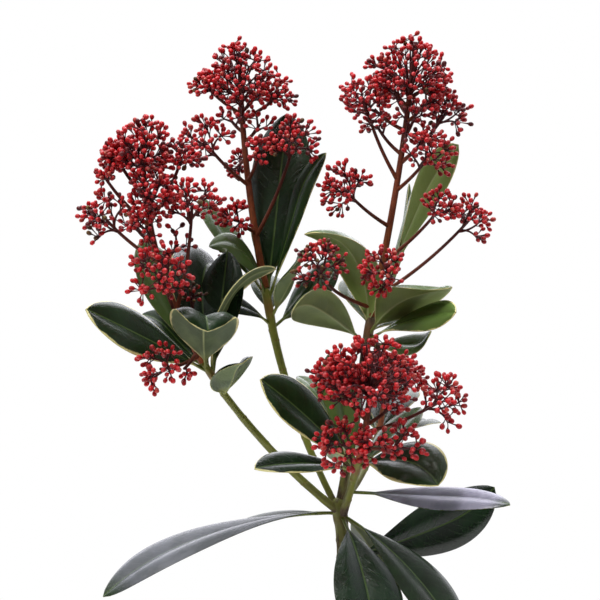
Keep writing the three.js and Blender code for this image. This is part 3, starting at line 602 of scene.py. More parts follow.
# A shoot and the leafy stem on its tip are one line of growth, with a collar where it leaves the trunk's
# head and a ringed scar at each old leaf.
stem_feet, stem_tips = {}, {}
turn = round_angles(SHOOT_SIDES)
for seed, name in enumerate(SHOOT_ORDER):
    root, azimuth, rise, length, bend, (first, last) = SHOOTS[name]
    shoot_line = arc(np.array(root, float), azimuth, rise, length, bend)
    stem_azimuth, stem_rise, stem_length = TUFT_STEMS[name]
    way = heading(stem_azimuth, stem_rise)
    foot, tip = shoot_line[-1] + way * GAP, shoot_line[-1] + way * stem_length
    stem_feet[name], stem_tips[name] = foot, tip
    stem_line = [foot + way * 2, (foot + tip) / 2, tip + way * 0.4]
    whole = smooth_line(np.concatenate([shoot_line[::3], stem_line]), int(4 * (length + stem_length)))
    run = np.cumsum(np.r_[0, np.linalg.norm(np.diff(whole, axis=0), axis=1)])
    reach = first + (last - first) * np.minimum(1, run / length) + SHOOT_COLLAR * np.exp(-run / 3.0)
    draw = np.random.default_rng(50 + seed)
    scars = np.arange(draw.uniform(7, 12), length - 4, draw.uniform(*SCAR_SPACING))
    scars = np.r_[scars + draw.uniform(-3, 3, len(scars)), length + 1.0]
    ringed = np.zeros((len(run), SHOOT_SIDES))
    for place in scars:
        facing = 0.55 + 0.45 * np.cos(turn - draw.uniform(0, 2 * math.pi))
        ringed += SCAR_SWELL * np.exp(-((run - place) / 0.6) ** 2)[:, None] * facing
    ringed += (np.exp(-((run - length - stem_length * 0.55) / (stem_length * 0.34)) ** 2) * 0.72)[:, None]
    lumps = rumple(np.cos(turn)[None] * 1.7, np.sin(turn)[None] * 1.7, run[:, None] * 0.22, seed=60 + seed)
    skin = reach[:, None] + SCAR_HEIGHT * np.minimum(ringed, 1) + SHOOT_UNEVEN * lumps
    skin = skin * np.sqrt(np.clip((run[-1] - run) / 1.2, 0.02, 1))[:, None]
    root_brown, tip_brown = BROWNNESS[name]
    browning = root_brown + (tip_brown - root_brown) * run / run[-1] + 0.6 * np.exp(-run / 6)
    wood_piece("shoot_" + name, whole, skin, SHOOT_SIDES, browning, ringed)


# Leaves: thick leathery blades on short stalks, glossy and nearly black-green above, matt grey-olive below
# with a raised midrib. The young ones at the shoots' tips have a cream margin; the old ones are plain.
LEAF_ROWS = 44
LEAF_STALK_SHARE = 0.1
STALK_RADIUS = 0.85
STALK_STAND_OFF = 0.75
EDGE_RADIUS = 0.30
EDGE_HALF_WIDTH = 0.06
RIB_HALF_WIDTH = 0.75
# How deep the midrib is sunk above and how high it stands out below, and how deep the side veins are sunk.
RIB_GROOVE = 0.22
RIB_RIDGE = 0.55
VEIN_GROOVE = 0.035
# How high each half of a blade swells, how far its margin turns down and how high the margin's waves are,
# as shares of half its width.
BLADE_SWELL = 0.10
MARGIN_DROP = 0.11
MARGIN_WAVE = 0.05
RAISED_VEIN_SPACING = 7.5
DRAWN_VEIN_SPACING = 5.5
SAMPLE_ROWS = 25
SAMPLE_COLUMNS = 7
ACROSS = np.array([0, 0.035, 0.08, 0.16, 0.28, 0.42, 0.56, 0.7, 0.82, 0.91, 0.97, 1.0])
# A leaf: the place of its root along its stem, azimuth, rise, length, width, bend, roll, twist, hook, fold
# and swing, then the width of its cream margin, how olive it is, and on some how strong its painted
# lilac-grey sheen is, a highlight painted into its colour.
TUFT_LEAVES = {
    "left": [
        (0.72, 203, 30, 70, 30, -4, 44, 0, 0, 10, 0, 1.8, 0.15),
        (0.73, 149, 36, 48, 24, 10, 20, 0, -40, 14, 0, 0.8, 0.2),
        (0.85, 264, 47, 50, 34, 10, 8, 0, -125, 12, 20, 1.4, 0.15),
        (0.05, 284, 17, 31, 28, 57, -33, 18, -51, 18, 18, 0.8, 0.1),
        (0.88, 145, 57, 72, 27, 0, 20, 0, 0, 10, 0, 0.6, 0.6),
        (0.76, 122, 86, 80, 36, -67, 9, -67, -66, 0, -60, 1.0, 0.1),
        (0.58, 68, 73, 63, 24, 0, 0, 0, 0, 14, 0, 0.5, 0.1),
        (0.58, 353, 102, 70, 14, -81, 11, 34, -21, 1, 37, 1.4, 0.4),
        (0.71, 106, 43, 57, 20, -40, -13, 16, -6, 4, -15, 0.6, 0.3),
    ],
    "middle": [
        (0.82, 66, 75, 96, 34, 0, 0, 0, 0, 8, 0, 0.35, 0.1),
        (0.76, 347, 72, 81, 19, 3, -25, -31, -29, 3, -9, 0.8, 0.15),
        (0.82, 222, 77, 46, 23, -53, 32, -4, -57, 0, -44, 0.5, 0.7),
        (0.84, 146, 50, 64, 24, 0, 0, 0, 0, 12, 0, 0.6, 0.5),
        (0.17, 213, 41, 36, 18, -35, 23, 15, 13, 7, -16, 0.3, 0.0),
        (0.34, 327, 62, 41, 23, -14, 25, -75, 18, 20, -13, 0.6, 0.4),
        (0.11, 29, 35, 49, 21, 24, -36, 2, -12, 0, -20, 0.3, 0.2),
        (0.81, 80, 76, 66, 24, -30, 0, 0, 0, 12, 0, 0.6, 0.3),
        (0.31, 95, 44, 40, 18, -30, 0, 0, 0, 12, 0, 0.5, 0.3),
    ],
    "right": [
        (0.12, 216, 40, 66, 23, -32, -25, -33, -24, 6, 31, 0.8, 0.6),
        (0.33, 241, 104, 73, 34, -84, -10, -2, -27, 1, -56, 1.1, 0.8),
        (0.43, 309, 52, 62, 32, -57, 61, -68, 13, 10, 7, 0.9, 0.7),
        (0.25, 322, 32, 65, 19, -34, -21, -41, 7, 1, -22, 1.2, 0.9),
        (0.06, 344, 3, 37, 22, 0, -21, -6, 60, 9, -18, 0.9, 0.6),
        (0.76, 45, 63, 107, 30, -5, 21, 62, -14, 4, -17, 1.0, 0.8),
        (0.76, 44, 49, 80, 19, 21, 50, 35, 18, 3, 28, 0.8, 0.6),
        (0.54, 98, 52, 46, 24, -40, 0, 0, 0, 12, 0, 0.8, 0.4),
        (0.4, 64, 26, 46, 24, -40, -10, 0, 0, 12, 0, 0.8, 0.4),
    ],
    "front": [
        (0.47, 208, 18, 56, 22, -25, 20, 0, 0, 14, 0, 1.4, 0.05),
        (0.61, 200, 50, 68, 29, -14, 52, 0, 0, 14, 0, 1.4, 0.15),
        (0.61, 320, 30, 53, 31, -60, -32, 0, -20, 12, 0, 2.0, 0.25),
        (0.62, 129, 71, 59, 25, 0, 0, 0, 0, 12, 0, 0.5, 0.8),
        (0.6, 36, 34, 48, 22, 0, 0, 0, 0, 12, 0, 0.7, 0.4),
        (0.56, 137, 63, 60, 20, -20, 0, 0, -30, 12, 0, 0.6, 0.7),
    ],
    "back": [
        (0.32, 48, 23, 51, 26, -35, 0, 0, 0, 12, 0, 0.9, 0.3),
        (0.54, 73, 34, 62, 28, -30, 0, 0, 0, 12, 0, 1.0, 0.3),
        (0.61, 96, 29, 66, 28, -40, 0, 0, 0, 12, 0, 1.1, 0.4),
        (0.44, 134, 20, 44, 26, -35, 0, 0, 0, 12, 0, 0.9, 0.3),
        (0.14, 111, -3, 53, 24, -30, 0, 0, 0, 12, 0, 0.7, 0.2),
    ],
}
# The old leaves round the trunk: the height and depth of their band, then the leaves.
BAND_LEAVES = {
    "fork": (190.5, 7, [
        (0.9, 196, 2, 125, 30, -35, -11, 31, -8, 7, -2, 0.15, 0.25, 0.36),
        (0.5, 287, -24, 78, 37, -45, 8, 0, 0, 10, 0, 0.15, 0.0),
        (0.5, 332, -25, 86, 36, -35, -10, 0, 0, 10, 0, 0.15, 0.15),
        (0.8, 160, 0, 76, 20, -34, 4, 0, 0, 12, 0, 0.2, 0.1),
        (0.5, 60, -30, 72, 28, -30, -10, 0, 0, 12, 0, 0.2, 0.1),
        (0.3, 73, -39, 84, 24, -40, 0, 0, 0, 12, 0, 0.2, 0.1),
    ]),
    "trunk": (138, 7, [
        (0.5, 120, -4, 84, 30, -16, 0, 0, 0, 12, 0, 0.2, 0.1),
        (0.5, 215, -4, 90, 32, -16, 0, 0, 0, 12, 0, 0.2, 0.0),
        (0.4, 262, -6, 74, 30, -14, 0, 0, 0, 12, 0, 0.2, 0.1),
        (0.5, 338, -5, 88, 30, -16, 0, 0, 0, 12, 0, 0.2, 0.1),
    ]),
}
SINGLE_LEAVES = {
    "front_shoot": ((4, -11.2, 209.2), (0, 351, -1, 84, 20, 6, -42, 26, -9, 0, -32, 0.3, 0.2, 0.95)),
    "trunk": ((1.5, 1.2, 173.6), (0, 21, 9, 92, 29, 12, -94, 21, 20, 5, 7, 0.15, 0.05)),
}
BAND_RADII = {"fork": 3.35, "trunk": 4.8}
BAND_CENTRES = {"fork": (-1.6, 0), "trunk": (0.9, 0.3)}


def leaf_outline(share):
    """How wide a leaf is at a share of its length, as a share of its width: a power of the way from the
    stalk times a power of the way to the tip, divided by the most that comes to."""
    blade = np.clip((share - LEAF_STALK_SHARE) / (1 - LEAF_STALK_SHARE), 0, 1)
    rise, fall = 1.15, 0.72
    peak = rise / (rise + fall)
    return blade ** rise * (1 - blade) ** fall / (peak ** rise * (1 - peak) ** fall)


def leaf_frame(path, leaf):
    """At each row of a leaf's path: the way across the blade, square to it the way its face looks, and half
    its width. The way across starts level, to the right of the azimuth, and rolls and twists."""
    _, azimuth, _, _, width, _, roll, twist, _, _, swing = leaf[:11]
    share = np.linspace(0, 1, len(path))
    turn = np.radians(azimuth + swing * share)
    level = np.stack([np.sin(turn), -np.cos(turn), 0 * turn], axis=1)
    upper = unit(np.cross(level, np.gradient(path, axis=0)))
    lean = np.radians(roll + twist * share)[:, None]
    side = level * np.cos(lean) + upper * np.sin(lean)
    face = upper * np.cos(lean) - level * np.sin(lean)
    return side, face, width / 2 * leaf_outline(share)


def leaf_surface(start, leaf, foot, seed):
    """One leaf as a closed sleeve: its columns run over the upper face and back under the lower one. The
    blade is creased along the midrib by its fold, each half swells between the midrib and its margin, the
    margins turn down a little and wave, and the thickness goes from a round stalk to a thin edge. The
    midrib is sunk above and raised below. With it go its measures: from the midrib, along, and inwards."""
    _, azimuth, rise, length, _, bend, _, _, hook, fold, swing = leaf[:11]
    path = arc(start, azimuth, rise, length, bend, hook, swing, LEAF_ROWS)
    side, face, half = leaf_frame(path, leaf)
    path[0] -= foot * (path[1] - path[0]) / np.linalg.norm(path[1] - path[0])
    share = np.linspace(0, 1, LEAF_ROWS + 1)[:, None]
    half = np.maximum(half[:, None], STALK_RADIUS * (1 - smoothstep(share, 0.1, 0.2)))
    half = np.maximum(half, EDGE_HALF_WIDTH)
    across = np.concatenate([-ACROSS[:0:-1], ACROSS])[None]
    out = np.abs(across)
    blade = smoothstep(share, 0.08, 0.2)
    near_tip = 1 - smoothstep(share, 0.82, 1.0)
    wave = rumple(share * 7 + 0 * across, np.sign(across) * 2 + 0 * share, seed=seed, waves=5, finest=2)
    lift = half * (np.sqrt(out ** 2 + 0.01) - 0.1) * np.sin(np.radians(fold))
    swell = BLADE_SWELL * np.sin(out * math.pi) - MARGIN_DROP * smoothstep(out, 0.55, 1)
    lift = lift + blade * half * swell
    lift = lift + blade * near_tip * MARGIN_WAVE * half * wave * out ** 2
    thick = STALK_RADIUS + (EDGE_RADIUS - STALK_RADIUS) * smoothstep(share, 0.06, 0.18)
    thick = thick * np.sqrt(np.maximum(0, 1 - out ** (2 + 10 * blade)))
    along = share * length
    from_rib = across * half
    slant = (along - np.abs(from_rib) * 1.1) / RAISED_VEIN_SPACING
    veins = 0.25 * np.maximum(0, np.sin(slant * 2 * math.pi + np.sign(across) * 0.8)) ** 4 * blade
    veins = veins * smoothstep(out, 0.05, 0.2) * (1 - smoothstep(out, 0.7, 0.92))
    rib = np.exp(-(from_rib / RIB_HALF_WIDTH) ** 2) * (1 - share) ** 0.6 * blade
    aside = path[:, None] + side[:, None] * (half * (across * np.cos(np.radians(fold))))[..., None]
    upper = aside + face[:, None] * (lift + thick - RIB_GROOVE * rib - VEIN_GROOVE * veins)[..., None]
    lower = aside + face[:, None] * (lift - thick - RIB_RIDGE * rib)[..., None]
    measures = np.stack(np.broadcast_arrays(from_rib, along, half * (1 - out)), axis=2)
    return tuple(np.concatenate([above, below[:, -2:0:-1]], axis=1)
                 for above, below in ((upper, lower), (measures, measures)))


# Leaf lines: reads a leaf's own measures (from the midrib, along, and in from the margin, in millimetres) and
# gives the midrib, the side veins that leave it in pairs, and the margin with its uneven inner edge.
leaf_lines, given, gives = effect(
    "Leaf lines", {"Blade": None, "Margin": 0.5}, ["Midrib", "Veins", "Edge", "Stalk", "Net"])
measure = given["Blade"]
aside, along, inwards = node(leaf_lines, "ShaderNodeSeparateXYZ", {0: measure}).outputs
off_rib = maths("ABSOLUTE", aside)
slant = times(noise(measure, 0.35, 3.0), 3.0, times(off_rib, -0.95, along))
pair = maths("SINE", times(slant, 2 * math.pi / DRAWN_VEIN_SPACING))
net = node(leaf_lines, "ShaderNodeTexVoronoi", {"Vector": measure, "Scale": 0.9}, feature="DISTANCE_TO_EDGE")
ragged = maths("ADD", maths("ADD", noise(measure, 0.8, 5.0, 0.7), -0.5), inwards)
margin_here = times(given["Margin"], spread(noise(measure, 0.07, 2.0), 0.35, 0.62, 0.25, 1.15))
for label, line in (
        ("Midrib", spread(off_rib, 0.2, 0.75, 1.0, 0.0)),
        ("Veins", times(spread(pair, 0.86, 1.0), spread(inwards, 1.5, 5.0))),
        ("Edge", spread(maths("DIVIDE", ragged, margin_here), 0.55, 1.15, 1.0, 0.0)),
        ("Stalk", spread(along, 5.0, 12.0, 1.0, 0.0)),
        ("Net", spread(net.outputs[0], 0.0, 0.12, 1.0, 0.0))):
    leaf_lines.links.new(line, gives[label])


def leaf_finish(name, dark, mid, olive, rib_tint, edge_tint, rim_tint, stalk_tint, rib_share, shine, gloss):
    """A leaf's face: its two greens by patches, olive by the leaf's own mark, then midrib, veins, a painted
    lilac-grey sheen (a highlight painted into the colour by the leaf's mark), margin and stalk. shine is how
    strongly it reflects, and gloss its roughness."""
    made, tree = new_finish(name, shine)
    margin = mark(tree, "margin")
    lines = node(tree, "ShaderNodeGroup", {"Blade": mark(tree, "blade", "Vector"), "Margin": margin},
                 node_tree=leaf_lines).outputs
    cloud, fleck = patches(object_place(tree), 70.0, 0.35, 0.65, 900.0)
    green = laid_over(
        between(cloud, dark, mid),
        (maths("POWER", mark(tree, "olive"), 1.6), olive),
        (times(lines["Veins"], rib_share * 0.07), rib_tint),
        (times(lines["Midrib"], rib_share), rib_tint),
        (spread(fleck, 0.6, 0.8, 0.0, 0.2), rib_tint),
        # painted sheen: a lilac-grey highlight laid into the base colour where the leaf's mark says
        (times(mark(tree, "bloom_and_painted_sheen"), spread(cloud, 0.0, 1.0, 0.7, 1.0)), "a09db3"),
        (lines["Edge"], between(spread(margin, 0.3, 0.9), rim_tint, edge_tint)),
        (lines["Stalk"], stalk_tint))
    relief = times(fleck, 0.1, times(lines["Net"], -0.2, times(lines["Veins"], -0.25)))
    coat(made, green, times(cloud, 0.06, times(fleck, 0.08, gloss - 0.04)), relief, 0.6, 0.3 * MM)
    return made


leaf_upper = leaf_finish("leaf_upper", "071a08", "0e2a0f", "668040", "5a7236", "d6cf8c", "4e5428", "626d2c",
                         0.5, 0.34, 0.20)
leaf_under = leaf_finish("leaf_under", "5c6a50", "77875f", "83993f", "a5af78", "e0d89c", "98a35c", "7c8240",
                         0.8, 0.35, 0.50)

leaf_samples = []


def blade_samples(start, leaf):
    """Points all over the leaf's blade as it is in the solids, a plain creased one, where no bud may be."""
    path = arc(start, *leaf[1:4], leaf[5], leaf[8], leaf[10], SAMPLE_ROWS - 1)
    side, face, half = leaf_frame(path, leaf)
    near_stalk = np.linspace(0, 1, SAMPLE_ROWS) < 0.2
    half = np.maximum(half, np.where(near_stalk, 0.9, 0.4))[:, None]
    step, crease = np.linspace(-1, 1, SAMPLE_COLUMNS)[None], np.radians(leaf[9])
    grid = (path[:, None] + side[:, None] * (half * step * np.cos(crease))[..., None]
            + face[:, None] * (half * np.abs(step) * np.sin(crease))[..., None])
    return grid[2:].reshape(-1, 3)


def leaf_mass(name, ending, leaves, foot):
    """One piece of all the leaves of a mass, given as start and leaf, whose stalks go on back into the wood
    by foot, with each leaf's marks for its finish."""
    points, blades = zip(*[leaf_surface(*grown, foot, 700 + seed) for seed, grown in enumerate(leaves)])
    leaf_samples.extend(blade_samples(*grown) for grown in leaves)
    marks = np.array([[*leaf[11:13], sum(leaf[13:])] for _, leaf in leaves])
    margin, olive, bloom_and_painted_sheen = marks.T[:, :, None, None]
    under = np.arange(len(points[0][0])) >= 2 * len(ACROSS) - 2
    share = np.linspace(0, 1, LEAF_ROWS + 1)[:, None]
    # How strong the painted lilac-grey sheen is along the blade: none on the stalk, fading at the tip.
    painted_sheen_along = smoothstep(share, 0.08, 0.26) * (1 - 0.95 * smoothstep(share, 0.86, 0.99))
    surface_piece(name + ending, [{"points": np.stack(points), "finish": under.astype(int), "marks": {
        "blade": np.stack(blades), "margin": margin * 0.75, "olive": olive, "bloom_and_painted_sheen": bloom_and_painted_sheen * painted_sheen_along}}],
        [leaf_upper, leaf_under], "leaf", name)


for band, (foot_height, depth, leaves) in BAND_LEAVES.items():
    centre = np.array([*BAND_CENTRES[band], foot_height])
    leaf_mass("leaves_" + band, "_blades", [
        (centre + heading(leaf[1], 0) * (BAND_RADII[band] + GAP + STALK_STAND_OFF) + [0, 0, depth * leaf[0]],
         leaf) for leaf in leaves], foot=2.4)
for name in SHOOT_ORDER:
    foot, tip, radius = stem_feet[name], stem_tips[name], SHOOTS[name][5][1]
    leaf_mass("leaves_" + name + "_shoot", "_blades", [
        (foot + (tip - foot) * leaf[0] + heading(leaf[1], 0) * radius * 0.5, leaf)
        for leaf in TUFT_LEAVES[name]], foot=1.2)
for name, (root, leaf) in SINGLE_LEAVES.items():
    leaf_mass("leaf_" + name, "_blade", [(np.array(root, float), leaf)], foot=1.5)
leaf_samples = np.concatenate(leaf_samples)


# Flower heads: a stout stalk that branches into sprays, twigs and thin dark-red stalklets, each with one
# closed waxy bud. All of it is living tissue; the buds are red, some paler at the tip and some withered.
GOLDEN_ANGLE = math.pi * (3 - math.sqrt(5))
# How near to a leaf a group of buds and a bud may be.
GROUP_ROOM = 4.8
BUD_ROOM = 2.6
# How far a cap's groups reach down it and how far down its axis their twigs leave, as shares of its height,
# and how far in from the cap a group and a bud are at most, as shares of the way to its centre.
CAP_DEPTH = 1.55
ROOT_SPREAD = 1.25
GROUP_INSET = 0.34
BUD_INSET = 0.46
# The farthest that a twig may leave the stalk below its dome, and the least share of a branch for it.
DOME_FORK = 0.55
SPRAY_FORK = 0.45
SPRAY_BEND = 18
SPRIG_BEND = 25
# The cap's roundness (2 is round, 1 a cone), its buds in each group, the groups that share a branch, and how
# near to a group's tip a bud stands at most, drawn for each between two lengths.
DOME_CAP = (1.6, 10, 7, (4.4, 8.2))
SPRAY_CAP = (2, 18, 3, (5.4, 9.2))
SPRIG_CAP = (2, 14, 3, (4.4, 7.6))
UNEVEN = 0.5
BUD_WIDTH = 2.6
BUD_LENGTH = 3.15
BUD_SEAT = 0.25
# How much smaller the buds of the dullest sprays are, as a share.
DULL_SHRINK = 0.28
BUD_ROWS = 8
BUD_SIDES = 8
LIMB_ROWS = 25
LIMB_COLLAR = 0.3
STALK_RADII = (1.95, 1.2)
BRANCH_RADII = (1.0, 0.72)
TWIG_RADII = (0.68, 0.40)
TWIG_ROWS = 13
TWIG_JOINTS = [6, 8, 10, 12]
TWIG_FOOT = 0.3
TWIG_END = 1.5
STALKLET_LENGTH = 5
STALKLET_RADII = np.array([0.34, 0.28, 0.25, 0.25, 0.30, 0.48])
# Stalk: azimuth, rise, length and bend. Dome: its place on the stalk, width, height and count of groups.
# Spray: its place on the stalk, azimuth, rise, length, swing, size, count, then how dull its buds are.
FLOWER_HEADS = {
    "left": ((192, 59, 119, 34), (0.9, 15, 17, 18), 0.15, [
        (0.72, 181, 45, 24, 0, 7, 4, 0.15), (0.6, 199, 38, 33, 0, 3, 2, 0.1),
        (0.62, 26, 52, 35, 0, 8, 4, 0.2), (0.62, 276, 40, 20, 0, 10, 6, 0.2),
        (0.45, 192, 31, 35, 0, 12, 6, 0.25), (0.5, 257, 30, 20, 0, 8, 4, 0.2),
        (0.24, 319, 69, 53, 0, 13, 7, 0.2), (0.14, 250, 36, 43, 0, 14, 8, 0.0),
        (0.14, 66, 55, 19, 0, 7, 4, 0.9), (0.03, 240, -14, 34, 0, 10, 5, 0.0),
        (0.05, 252, -30, 18, 0, 5, 2, 0.0)]),
    "middle": ((152, 77, 120, 12), (0.88, 18.5, 20, 23), 0.12, [
        (0.72, 2, 24, 22, 0, 9, 4, 0.2), (0.74, 190, 29, 24, 0, 6, 3, 0.2),
        (0.44, 216, 31, 35, 0, 12, 6, 0.15), (0.56, 109, -29, 13, 0, 6, 3, 0.2),
        (0.46, 289, 28, 26, 0, 7, 4, 0.1), (0.22, 322, 54, 55, 0, 11, 6, 0.3),
        (0.24, 240, 14, 21, 0, 7, 4, 0.05), (0.08, 190, 14, 20, 0, 6, 3, 1.0)]),
    "right": ((24, 76, 140, 8), (0.88, 21, 20, 27), 0.15, [
        (0.5, 199, 57, 45, 0, 12, 6, 0.1), (0.56, 17, 37, 36, 0, 11, 6, 0.2),
        (0.46, 326, 34, 28, 0, 12, 6, 0.15), (0.33, 209, 27, 32, 0, 12, 7, 0.1),
        (0.2, 330, 32, 42, 0, 9, 4, 0.1), (0.07, 352, 31, 62, 0, 11, 5, 0.1),
        (0.03, 205, 17, 55, 60, 12, 7, 0.5), (0.12, 310, 4, 42, -80, 10, 6, 0.1)]),
    "front": ((278, 41, 56, 25), (1, 27, 20, 28), 0.05, [
        (0.55, 205, 39, 26, 0, 11, 5, 0.1), (0.4, 345, 15, 41, 0, 12, 6, 0.0),
        (0.15, 252, 5, 31, 0, 13, 7, 0.0), (0.2, 307, 0, 31, 0, 10, 4, 0.0),
        (0.3, 275, -5, 31, 0, 7, 3, 0.0)]),
    "back": ((70, 55, 32, 20), (1, 15, 12, 12), 0.2, [
        (0.45, 145, 30, 18, 0, 7, 4, 0.2), (0.5, 30, 20, 22, 0, 7, 4, 0.2),
        (0.4, 85, 22, 26, 0, 8, 4, 0.2)]),
}
# Small sprigs that clothe the stalk between its dome and its sprays: the shares of the stalk between which
# they stand, how many, their length, size and count of groups.
SPRIGS = {"left": (0.40, 0.82, 5, 16, 8, 3), "middle": (0.6, 0.82, 5, 14, 8, 3),
          "right": (0.55, 0.84, 10, 18, 8, 3), "front": (0.45, 0.9, 5, 16, 8, 4),
          "back": (0.5, 0.9, 3, 10, 6, 3)}


def dice(seed):
    """A number from 0 to 1 at each call, the same ones in each run (Lehmer's rule)."""
    state = seed

    def roll():
        """The next number: the state is multiplied and its remainder kept."""
        nonlocal state
        state = (state * 48271) % 2147483647
        return state / 2147483647
    return roll


def point_at(path, share):
    """The points of a path at shares of its length."""
    place = np.clip(share, 0, 1) * (len(path) - 1)
    low = np.minimum(np.floor(place), len(path) - 2).astype(int)
    return path[low] + (path[low + 1] - path[low]) * np.expand_dims(place - low, -1)


def cap_frame(axis, at):
    """A point of the axis and the three ways from it: along the axis, aside and back."""
    up = unit(np.gradient(axis, axis=0)[int(round(at * (len(axis) - 1)))])
    side = unit(np.cross(up, [0, 1, 0]))
    return point_at(axis, at), up, side, np.cross(side, up)


def cap_rings(around, width, height, count, power, shell):
    """Places in rings over a cap: place k is at the share high up the cap, turned by k golden angles, and
    drawn in to its share of the way out. The cap is round at a power of 2 and nearer to a cone below it."""
    centre, up, side, back = around
    k = np.arange(count)
    high = 1 - (k + 0.5) / count * CAP_DEPTH
    wide = (1 - np.abs(high) ** power) ** (1 / power) * width * shell
    turn = k * GOLDEN_ANGLE
    return (centre + side * (np.cos(turn) * wide)[:, None] + back * (np.sin(turn) * wide)[:, None]
            + up * (high * height * shell)[:, None])


def cap_twigs(axis, at, width, height, count, kind, lowest, roll, draw):
    """The bud groups of a cap, and the finer places of their buds by the same rule. A group's twig leaves
    the axis lower down. Every so many groups stand nearly in line below each other, and their twigs leave
    the axis together as one branch. Gives roots, pulls, tips, bud places and how far each may stand off."""
    around = cap_frame(axis, at)
    power, buds_each, branches, leash = kind
    k = np.arange(count)
    tip = cap_rings(around, width, height, count, power, 1 - GROUP_INSET * np.array([roll() for _ in k]))
    reach = np.linalg.norm(np.diff(axis, axis=0), axis=1).sum()
    leaves_at = np.maximum(lowest, at - (k + 0.5) / count * ROOT_SPREAD * height / reach)
    member = (k[:, None] % branches == k[None] % branches).astype(float)
    member /= member.sum(axis=1, keepdims=True)
    root = point_at(axis, member @ leaves_at)
    pull = root + (member @ tip - root) * 0.5
    fine = count * buds_each
    shell = 1 - BUD_INSET * draw.uniform(0, 1, fine) ** 1.2
    leashes = draw.uniform(*leash, fine) * min(1, 0.45 + width / 22)
    return root, pull, tip, cap_rings(around, width + 3, height + 1.8, fine, power, shell), leashes


def bowed(first, pull, last, rows):
    """Curves from first to last drawn towards pull: the quadratic curve of those three points."""
    first, pull, last = first[:, None], pull[:, None], last[:, None]
    share = np.linspace(0, 1, rows)[None, :, None]
    return (1 - share) ** 2 * first + 2 * share * (1 - share) * pull + share ** 2 * last


def square_to(way):
    """For unit ways, two unit ways square to them and to each other."""
    axis = np.eye(3)[np.abs(way).argmin(axis=1)]
    first = unit(axis - (axis * way).sum(axis=1, keepdims=True) * way)
    return first, np.cross(way, first)


def apart(places, least):
    """Places pushed away from each other until few are nearer than least."""
    for _ in range(18):
        gap = places[:, None] - places[None]
        far = np.linalg.norm(gap, axis=2) + np.eye(len(places)) * 99
        push = np.clip(least - far, 0, None) * 0.4
        places = places + (gap / far[..., None] * push[..., None]).sum(axis=1)
    return places


def clear_of_leaves(places, room):
    """Which places are farther than room from every leaf."""
    return np.array([np.linalg.norm(leaf_samples - place, axis=1).min() > room for place in places])


def buds(place, way, size, turn):
    """Closed buds: a ball turned about its way, drawn in towards its foot and widest past its middle, with
    four faint furrows between its petals that deepen towards the tip."""
    down = np.linspace(0, 1, BUD_ROWS)
    height = -np.cos(down * math.pi) * BUD_LENGTH / 2
    radius = BUD_WIDTH / 2 * np.sin(down * math.pi) * (0.84 + 0.26 * down)
    radius[0] = radius[-1] = 0
    angle = round_angles(BUD_SIDES)
    lobes = 1 - 0.05 * (1 + np.cos(4 * angle))[None] * down[:, None]
    first, second = square_to(way)
    spun = (turn[:, None] + angle[None])[..., None]
    ring = first[:, None] * np.cos(spun) + second[:, None] * np.sin(spun)
    size = size[:, None, None, None]
    points = (place[:, None, None] + ring[:, None] * (radius[:, None] * lobes)[None, ..., None] * size
              + way[:, None, None] * height[None, :, None, None] * size)
    return points, np.broadcast_to(down[None, :, None], points.shape[:3])


def bud_finish(name, body, shade, tip_tint, waxy):
    """A bud's skin: darker in patches, with painted shade at its foot, paler at its tip, with a waxy shine.
    """
    made, tree = new_finish(name, 0.4)
    foot_to_tip = mark(tree, "foot_to_tip")
    flush, pore = patches(object_place(tree), 260.0, 0.38, 0.64, 1800.0)
    skin = laid_over(
        between(flush, body, shade),
        (spread(pore, 0.5, 0.75, 0.0, 0.25), tip_tint),
        (spread(foot_to_tip, 0.78, 1.0, 0.0, 0.7), tip_tint),
        # painted shade: the foot of each bud is darkened to a near-black red
        (spread(foot_to_tip, 0.0, 0.22, 0.85, 0.0), "2e0b0e"))
    coat(made, skin, spread(pore, 0.3, 0.7, waxy - 0.06, waxy + 0.12), pore, 0.3, 0.15 * MM)
    return made


bud_finishes = [
    bud_finish("bud_scarlet", "cb181f", "a81118", "e86a68", 0.34),
    bud_finish("bud_crimson", "b0171c", "870f15", "cc5050", 0.38),
    bud_finish("bud_maroon", "6c1217", "480b10", "8c3a38", 0.44),
    bud_finish("bud_coral", "bd372f", "96211f", "dca386", 0.40),
    bud_finish("bud_withered", "62431f", "3d1f15", "968040", 0.6),
]

# Stalks: orange-brown and woody at the head's foot, turning dark red towards the buds.
stalk_skin, tree = new_finish("flower_stalk", 0.3)
streak, down = patches(drawn_out(mark(tree, "grown", "Vector"), 0.3), 0.8, 0.4, 0.62, 4.0)
skin = laid_over(
    between(mark(tree, "ruddy"), "a0562a", "47121a"),
    (times(streak, 0.4), "3c1116"),
    (spread(down, 0.55, 0.75, 0.0, 0.4), "a5653c"))
coat(stalk_skin, skin, spread(down, 0.3, 0.7, 0.5, 0.72), down, 0.5, 0.3 * MM)


def stalk_sheet(paths, radii, sides, ruddy):
    """Tubes of stalk with the same radii, as red at the root as ruddy says and fully red at the tip."""
    points, grown = tubes(paths, np.broadcast_to(radii, paths.shape[:2]), sides)
    red = np.broadcast_to(np.linspace(ruddy, 1.0, paths.shape[1]), paths.shape[:2])
    return {"points": points, "marks": {"grown": grown, "ruddy": capped(red)[:, :, None]}}


